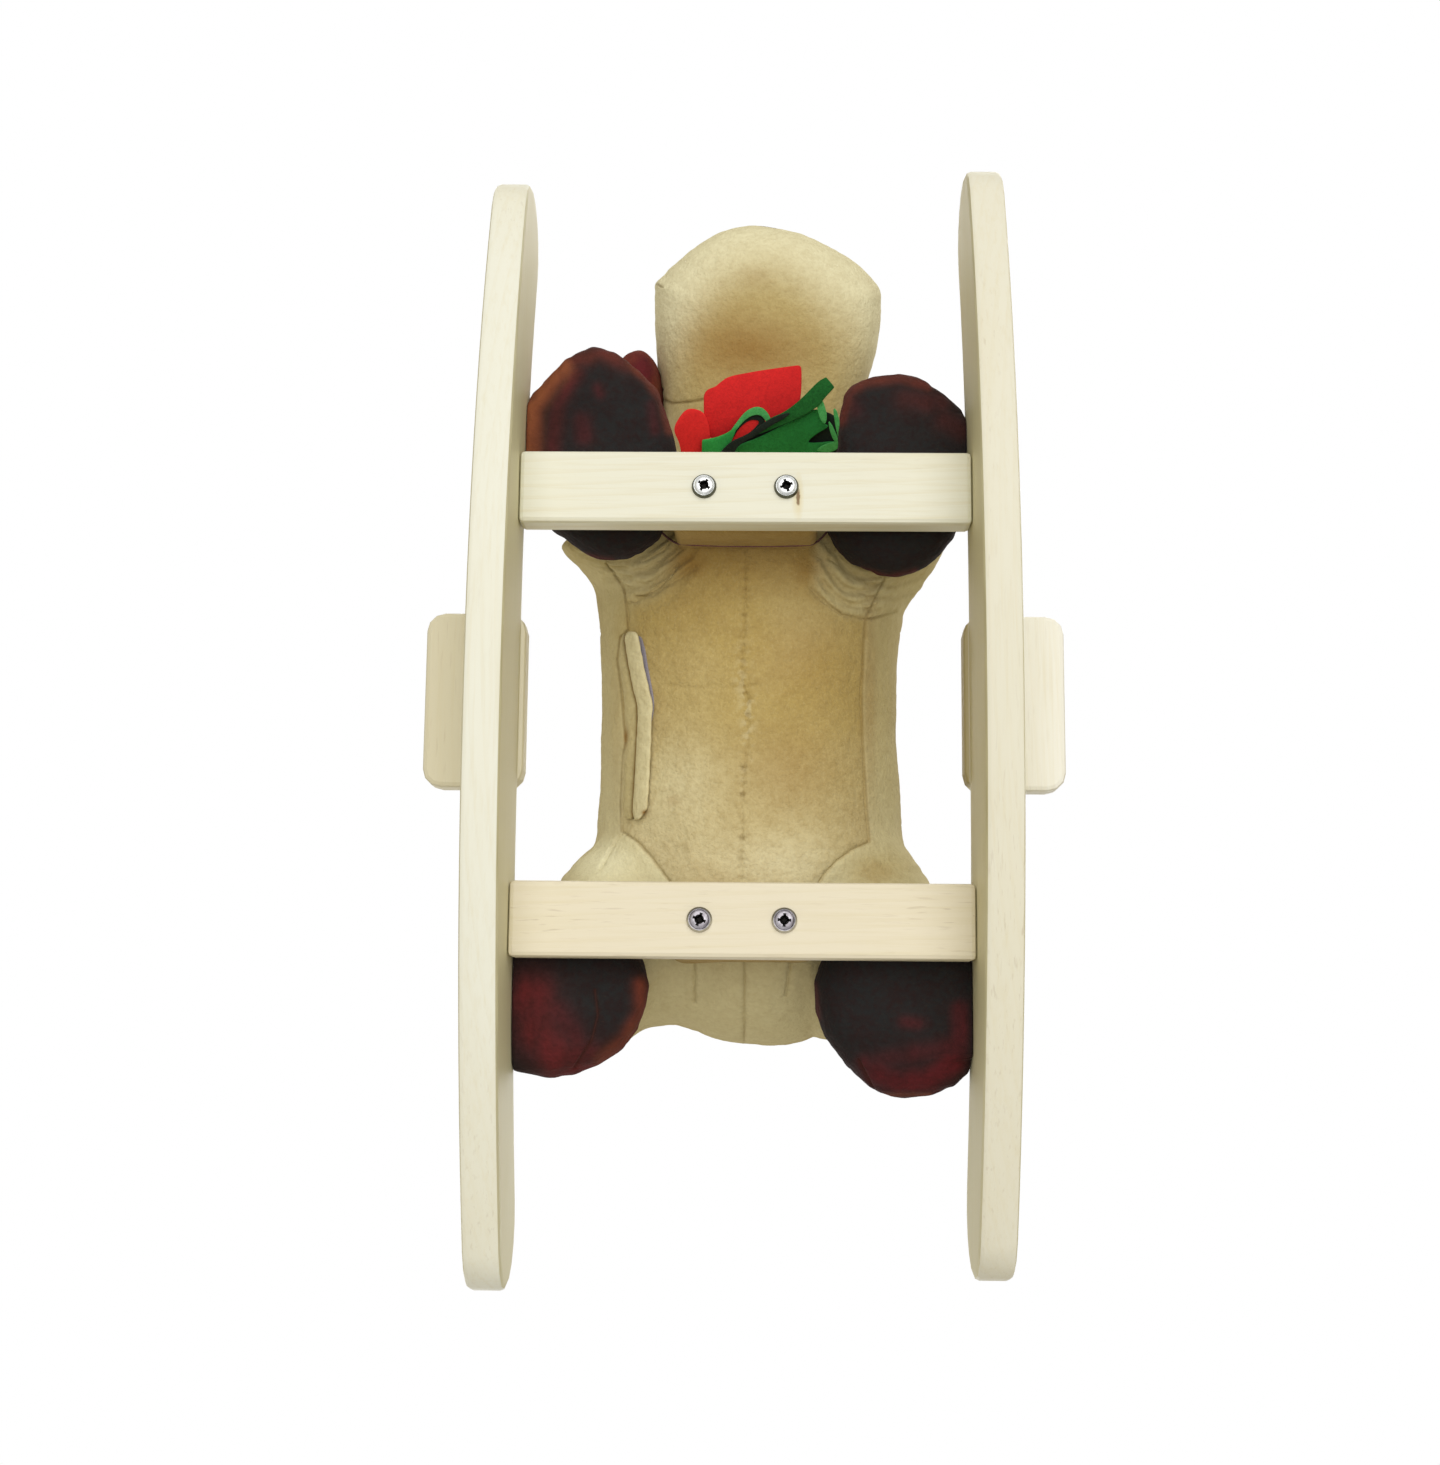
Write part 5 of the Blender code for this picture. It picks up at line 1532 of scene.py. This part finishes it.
def screwMesh(name):
    head, raised, length = screwSet[name]
    shank = screwSet["shank"]
    profile = [(head * math.sin(a), raised * math.cos(a)) for a in np.linspace(0, math.pi / 2, 7)[:-1]]
    profile += [(head, 0.0), (head * 0.97, -0.0002), (shank, shank - head), (shank, 2 * shank - length)]
    whole = turnedMesh(name + "_screw", profile + [(0, -length)])
    return recessed(whole, cross, 0.003, -screwSet["depth"], screwSet["taper"])


half, reach = screwSet["slot"], screwSet["slotReach"]
cross = [
    (along * a - aside * b, along * b + aside * a)
    for a, b in ((1, 0), (0, 1), (-1, 0), (0, -1))
    for along, aside in ((half * 1.3, -half * 1.3), (reach, -half * 0.6), (reach, half * 0.6))
]
barScrewMesh, restScrewMesh = screwMesh("bar"), screwMesh("rest")
hexagon = circle(0.0030, 6)
boltTop = 0.0055
boltProfile = [
    (0, boltTop), (0.0040, boltTop), (0.0046, 0.0053), (0.0050, 0.0049), (0.0050, 0.0), (0.003, 0.0),
    (0.003, -0.053), (0, -0.0545),
]
boltMesh = recessed(turnedMesh("joint_bolt", boltProfile), hexagon, 0.007, 0.0025, 0.999)
washerSet = {"seat": 0.0021, "rimFrom": 0.00565}
washerProfile = [
    (0.0051, -0.0001), (0.0053, 0.00012), (0.0056, 0.0002), (0.0059, 0.00005), (0.0061, -0.0004),
    (0.0065, -0.0013), (0.0067, -washerSet["seat"]), (0.0038, -washerSet["seat"]), (0.0051, -0.0001),
]
washerMesh = turnedMesh("cup_washer", washerProfile, 56)


def fastener(name, mesh, spot, turn, material, node, hollow=None, rim=None):
    # The faces in the hollow, or else the washer's rim, have a second material: painted shade in the hollow,
    # painted reflection on the rim
    made = newPiece(name, mesh.copy(), material)
    made.location = spot
    made.rotation_euler = turn
    dress(made, mainBody, [node], sharp=35)
    middles = read(made.data.polygons, "center", 3)
    if hollow:
        chosen = insidePolygon(middles[:, :2] * 0.98, hollow) & (middles[:, 2] > -0.003)
        chosen &= np.abs(middles[:, 2] - boltTop) > 1e-5
    else:
        chosen = np.hypot(middles[:, 0], middles[:, 1]) > washerSet["rimFrom"]
    made.data.materials.append(rim or shadedSteel)
    made.data.polygons.foreach_set("material_index", chosen.astype(np.int32))


# How far each screw is turned
crossTurns = {
    ("front", "left"): 0.55, ("front", "right"): 1.25, ("rear", "left"): 0.35, ("rear", "right"): 0.05,
}
for (end, side), turned in crossTurns.items():
    low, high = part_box(f"cup_washer_{end}_{side}")
    middle = (low + high) / 2
    spot, turn = (middle.x, middle.y, high.z - washerSet["seat"]), (math.pi, 0, turned)
    finish = zinc if end == "front" else darkReflectionZinc
    name = f"bar_screw_{end}_{side}"
    fastener(f"cross_screw_{end}_{side}", barScrewMesh, spot, turn, finish, name, cross)
    name = f"cup_washer_{end}_{side}"
    fastener(f"screw_cup_{end}_{side}", washerMesh, spot, turn, finish, name, rim=reflectionRims[end])
    name = f"footrest_screw_{side}_{end}"
    low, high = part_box(name)
    middle = (low + high) / 2
    spot, turn = (middle.x, middle.y, high.z - screwSet["rest"][1]), (0, 0, turned * 2)
    fastener(f"rest_screw_{side}_{end}", restScrewMesh, spot, turn, zinc, name, cross)
    name = f"joint_bolt_{end}_{side}"
    low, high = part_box(name)
    middle = (low + high) / 2
    outer = low.x + boltTop if side == "left" else high.x - boltTop
    spot, turn = (outer, middle.y, middle.z), (0, sides[side] * math.pi / 2, 0)
    fastener(f"socket_bolt_{end}_{side}", boltMesh, spot, turn, cupZinc, name, hexagon)
print("fasteners made")

# Felt pieces, cut to outlines in the photograph's frame. They lie on one dished face under the
# flower, each a few millimetres nearer the camera than the next
bloomFace = {"middle": (752, 402), "height": 203.0, "tilt": 0.24, "dishX": -0.0012, "dishY": 0.004}
bloom = {
    "bloom_petal_large": {
        "outlines": [[
            (704, 402), (704, 394), (708, 389), (715, 387), (721, 382), (728, 377), (749, 373), (768, 370),
            (786, 367.5), (797, 366), (799, 366), (801, 367), (801.3, 369), (801.5, 382), (800.5, 399),
            (797, 408), (790, 424), (776, 440), (740, 446), (716, 444), (706, 430), (704, 415),
        ]],
        "lift": 0.0, "thick": 0.0028, "felt": "red", "replaces": "petal_large",
    },
    # Painted light: this petal is cut from the lit copy of the red felt
    "bloom_petal_small": {
        "outlines": [[
            (682, 458), (679.5, 443), (674.5, 433), (675, 426), (680, 417), (685, 411), (690, 408.5),
            (699, 410), (706, 415), (710, 430), (710, 446), (706, 458),
        ]],
        "lift": 4.5, "thick": 0.0026, "felt": "lit_red", "replaces": "petal_small",
    },
    # Painted shade: a dark sheet behind the leaves, which shows in the gaps between them
    "bloom_shade_back": {
        "outlines": [[(716, 456), (735, 441), (770, 420), (800, 408), (826, 411), (838, 418),
        (843, 444), (842, 456)]],
        "lift": 6.0, "thick": 0.0012, "felt": "shade_dark_green",
    },
    # Painted light: a lit red piece where the large petal shows through the loop
    "bloom_petal_inner": {
        "outlines": [[(731, 443), (737, 431), (745, 421), (753, 417), (762, 418), (763, 424),
        (755, 432), (744, 439)]],
        "lift": 6.8, "thick": 0.0006, "felt": "lit_red", "step": 2.0,
    },
    # Painted shade: the dark inside of the loop
    "bloom_loop_shade": {
        "outlines": [[
            (729, 438), (733, 434), (741, 424), (746, 419), (752, 415.5), (758, 414.5), (762.5, 416.5),
            (765, 420), (764.5, 425), (757, 432), (748, 438), (736, 443), (735, 440.5), (746.5, 434.8),
            (754, 429.2), (759.5, 422.8), (757.5, 419.8), (750, 419.8), (743, 424.3), (736.5, 431.5),
            (733, 438.5),
        ]],
        "lift": 7.5, "thick": 0.0010, "felt": "shade_dark_green", "step": 2.0,
    },
    "bloom_loop_pale": {
        "outlines": [[
            (729.5, 433), (732.5, 428), (738, 420.5), (744, 413), (750, 408.5), (757, 406.5), (763, 408),
            (767.5, 412.5), (770.5, 418), (771.5, 423), (768, 424), (765, 420), (762.5, 416.5), (758, 414.5),
            (752, 415.5), (746, 419), (741, 424), (736, 430), (733, 435),
        ]],
        "lift": 9.0, "thick": 0.0012, "felt": "pale_green", "step": 2.0,
    },
    "bloom_leaf_left": {
        "outlines": [[
            (702, 441), (703, 440), (716, 438), (728, 433), (735.5, 427), (736.5, 428), (732, 440),
            (728, 446), (724, 452), (724, 458), (703, 458), (702, 457),
        ]],
        "lift": 10.0, "thick": 0.0014, "felt": "spring_green", "step": 2.5,
    },
    "bloom_leaf_wide": {
        "outlines": [[
            (729, 455), (739, 445), (757, 438.5), (770, 432), (782, 426), (800, 418), (816, 408.5),
            (818, 411), (820.5, 421), (824.5, 424), (829.5, 426.5), (817, 433), (806.5, 442), (813, 443.5),
            (841, 440.5), (838.5, 448), (831, 452), (815, 458), (732, 458),
        ]],
        "lift": 10.5, "thick": 0.0014, "felt": "leaf_green", "replaces": "leaf_wide", "wave": 1.2,
    },
    "bloom_leaf_ragged": {
        "outlines": [
            [
                (816, 397), (817.5, 396.5), (822, 399), (825, 407), (827, 415.5), (826, 423), (824, 423.5),
                (820.5, 420), (817.5, 410),
            ],
            [(828.5, 422), (829.5, 421.5), (833, 427), (838.5, 440), (838, 441.5), (834, 441), (830, 431)],
            [(833, 409), (835, 408.5), (837.5, 413), (840, 424), (843, 439), (842, 441.5), (839, 441),
            (836, 428)],
        ],
        "lift": 12.5, "thick": 0.0010, "felt": "pale_green", "step": 2.0,
    },
    "bloom_stem": {
        "outlines": [[
            (764, 423), (770.5, 418), (785, 412), (800, 400), (810.5, 389.5), (818, 382), (825, 377.7),
            (826, 377.5), (827, 378), (833.7, 386), (834, 387), (833.7, 388), (824.5, 398), (818, 407),
            (800, 417.5), (782, 425), (768, 430.5), (757, 434.5), (752, 432),
        ]],
        "lift": 14.0, "thick": 0.0016, "felt": "green", "replaces": "stem", "step": 2.5,
    },
    "bloom_stem_shaded": {
        "outlines": [[
            (763, 423), (778, 415), (792, 412), (785, 418), (772, 425), (757, 434.5), (745, 441), (737, 447),
            (733, 456), (718, 456), (724, 448), (732, 441), (744, 436), (755, 430),
        ]],
        "lift": 16.0, "thick": 0.0012, "felt": "shade_dark_green", "step": 2.5,
    },
    "bloom_leaf_tip": {
        "outlines": [[(822, 445.5), (829, 443), (841, 440), (841.5, 441), (838.8, 448), (831, 452),
        (815, 451)]],
        "lift": 12.5, "thick": 0.0010, "felt": "pale_green", "step": 2.0,
    },
}


def bloomPlace(spot, look):
    # The place of a pixel on that face, as many millimetres in front of it as the piece's lift
    a, b = spot - Vector(bloomFace["middle"])
    height = bloomFace["height"] + bloomFace["tilt"] * b
    height += bloomFace["dishX"] * a * a + bloomFace["dishY"] * b * b
    height += look.get("wave", 0.5) * noise.noise(Vector((*(spot * 0.07), look["lift"])))
    return atHeight(*spot, (height - look["lift"]) / 1000)


def cutFelt(name, mesh, thick, colourName, replaced=()):
    made = newPiece(name, mesh)
    modify(made, "SOLIDIFY", thickness=thick, offset=0)
    modify(made, "BEVEL", width=0.0003, segments=2, limit_method="ANGLE", angle_limit=math.radians(50))
    dress(bakeModifiers(made), mainBody, replaced, felt[colourName], sharp=60)
    return made


for name, look in bloom.items():
    step = look.get("step", 3.5)
    build = bmesh.new()
    for outline in look["outlines"]:
        ring = [Vector(p) for p in outline]
        for _ in range(2):
            pairs = zip(ring, ring[1:] + ring[:1])
            ring = [p for a, b in pairs for p in (a.lerp(b, 0.25), a.lerp(b, 0.75))]
        dense = []
        for a, b in zip(ring, ring[1:] + ring[:1]):
            count = max(1, round((b - a).length / step))
            dense += [a.lerp(b, i / count) for i in range(count)]
        corners = np.array([tuple(p) for p in dense])
        rows = [np.arange(low, high, step) for low, high in zip(corners.min(axis=0), corners.max(axis=0))]
        grid = np.stack(np.meshgrid(*rows, indexing="ij"), axis=-1).reshape(-1, 2)
        clear = linesGap(grid, [np.vstack((corners, corners[:1]))]) > step * 0.6
        grid = [Vector(p) for p in grid[insidePolygon(grid, corners) & clear]]
        rim = [(i, (i + 1) % len(dense)) for i in range(len(dense))]
        flat, _, faces, *_ = geometry.delaunay_2d_cdt(dense + grid, rim, [], 1, 1e-4)
        corners = [build.verts.new(bloomPlace(p, look)) for p in flat]
        for face in faces:
            build.faces.new([corners[i] for i in face])
    mesh = meshFrom(name, build)
    area, size = areaOf(mesh), np.ptp(pointsOf(mesh), axis=0)[:2]
    replaced = [look["replaces"]] if "replaces" in look else ()
    made = cutFelt(name, mesh, look["thick"], look["felt"], replaced)
    side = np.maximum(size * max(1.0, (area / size.prod()) ** 0.5 * 1.02), leastSide)
    area = max(area, side.prod() * 0.301)

# The flower's own face, which the photograph doesn't show: a rolled bud with petals round it.
# Each petal has a turn, a reach, a half width and the rise of its tip
budSet = {
    "foot": (0.000, 0.2330), "axis": (0.08, -0.86, 0.42), "sunk": 0.002, "turns": 2.6, "inner": 0.0025,
    "outer": 0.0135, "high": 0.019, "thick": 0.0015, "steps": 110,
    "petals": (
        (1.57, 0.022, 0.0175, 0.011), (0.25, 0.020, 0.0165, 0.012), (2.90, 0.020, 0.0165, 0.012),
    ),
}
budAxis = Vector(budSet["axis"]).normalized()
budSide = budAxis.cross(Vector((0, 0, 1))).normalized()
budUp = budSide.cross(budAxis)
budStart = Vector((budSet["foot"][0], -1.0, budSet["foot"][1]))
budCentre = bodyTree.ray_cast(budStart, Vector((0, 1, 0)))[0] - budAxis * budSet["sunk"]


def budPlace(a, b, c):
    return tuple(budCentre + budSide * a + budUp * b + budAxis * c)


def clothGrid(name, places):
    rows, columns = np.shape(places)[:2]
    faces = [
        (a, a + 1, a + columns + 1, a + columns)
        for row in range(rows - 1) for a in range(row * columns, (row + 1) * columns - 1)
    ]
    mesh = bpy.data.meshes.new(name)
    mesh.from_pydata([place for row in places for place in row], [], faces)
    made = cutFelt(name, mesh, budSet["thick"], "red")


ribbon = []
for share in np.arange(budSet["steps"] + 1) / budSet["steps"]:
    angle = 2 * math.pi * budSet["turns"] * share + 0.4
    row = []
    for level in np.linspace(0, 1, 9):
        far = budSet["inner"] + (budSet["outer"] - budSet["inner"]) * share + 0.0035 * level ** 2 * share
        far += 0.0009 * noise.noise(Vector((share * 9, level, 5.0)))
        high = budSet["high"] * (1 - 0.30 * share) * level
        high += 0.0012 * noise.noise(Vector((share * 7, 3.0, level)))
        row.append(budPlace(far * math.cos(angle), far * math.sin(angle), high))
    ribbon.append(row)
clothGrid("bloom_bud", ribbon)
for index, (turn, reach, wide, tip) in enumerate(budSet["petals"]):
    rows = []
    for level in np.linspace(0.02, 1, 13):
        half = wide * math.sin(math.pi * (0.20 + 0.72 * level) ** 1.3) ** 0.6
        row = []
        for across in np.linspace(-1, 1, 15):
            aside = half * across
            out = 0.006 + reach * level - 0.004 * across ** 2 * level
            lift = tip * level ** 2 + 0.005 * across ** 2 - 0.001
            lift += 0.0012 * noise.noise(Vector((across * 2, level * 2, turn)))
            x = out * math.cos(turn) - aside * math.sin(turn)
            y = out * math.sin(turn) + aside * math.cos(turn)
            row.append(budPlace(x, y, lift))
        rows.append(row)
    clothGrid(f"bloom_petal_outer_{index + 1}", rows)
print("bloom made")

# Stage: a pale floor that is clear from below, and wide soft lamps, above and below. They are
# suns, which shine the same everywhere, so the floor has no fall-off
stageSet = {
    "world": 0.37, "shade": "#fff3d6", "floor": "#fafbff", "floorLift": 0.16, "floorReach": 40.0,
    "floorHeight": -0.0006,
    "lamps": {
        "under_lamp": ((0.13, -0.30, -1.0), 2.0, 70),
        "over_lamp": ((0.20, -0.40, 1.0), 1.7, 50),
        "back_lamp": ((-0.50, 0.60, 0.80), 0.7, 60),
    },
}
world = bpy.data.worlds.new("studio")
scene.world = world
world.use_nodes = True
tree = world.node_tree
mirrored = addNode(tree, "LightPath", None, "Is Camera Ray")
for way in ("Is Glossy Ray", "Is Transmission Ray"):
    way = addNode(tree, "LightPath", None, way)
    mirrored = addNode(tree, "Math", {"operation": "MAXIMUM", 0: mirrored, 1: way})
settle(tree, tree.nodes["Background"], {
    "Color": laid(tree, stageSet["shade"], "#ffffff", mirrored),
    "Strength": addNode(tree, "MapRange", {0: mirrored, 3: stageSet["world"]}),
})

reach = stageSet["floorReach"]
corners = [(x * reach, y * reach, stageSet["floorHeight"]) for x, y in ((-1, -1), (1, -1), (1, 1), (-1, 1))]
floorMesh = bpy.data.meshes.new("floor")
floorMesh.from_pydata(corners, [], [(0, 1, 2, 3)])
floorMaterial, tree, _ = newMaterial("matt_white_floor")
tree.nodes.clear()
paper = addNode(tree, "BsdfDiffuse", {"Color": stageSet["floor"]})
glow = addNode(tree, "Emission", {"Strength": stageSet["floorLift"]})
below = addNode(tree, "NewGeometry", None, "Backfacing")
above = addNode(tree, "Math", {"operation": "SUBTRACT", 0: 1.0, 1: below})
direct = addNode(tree, "LightPath", None, "Is Camera Ray")
settle(tree, tree.nodes.new("ShaderNodeOutputMaterial"), {
    "Surface": addNode(tree, "MixShader", {
        0: addNode(tree, "Math", {"operation": "MULTIPLY", 0: above, 1: direct}),
        1: addNode(tree, "BsdfTransparent"),
        2: addNode(tree, "AddShader", {0: paper, 1: glow}),
    }),
})
newPiece("floor", floorMesh, floorMaterial)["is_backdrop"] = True
for name, (spot, strength, spread) in stageSet["lamps"].items():
    light = bpy.data.lights.new(name, "SUN")
    light.energy = strength
    light.angle = math.radians(spread)
    lamp = newPiece(name, light)
    lamp.rotation_euler = (-Vector(spot)).to_track_quat("-Z", "Y").to_euler()
scene.view_settings.view_transform = "Standard"
print("stage set")

low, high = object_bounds()
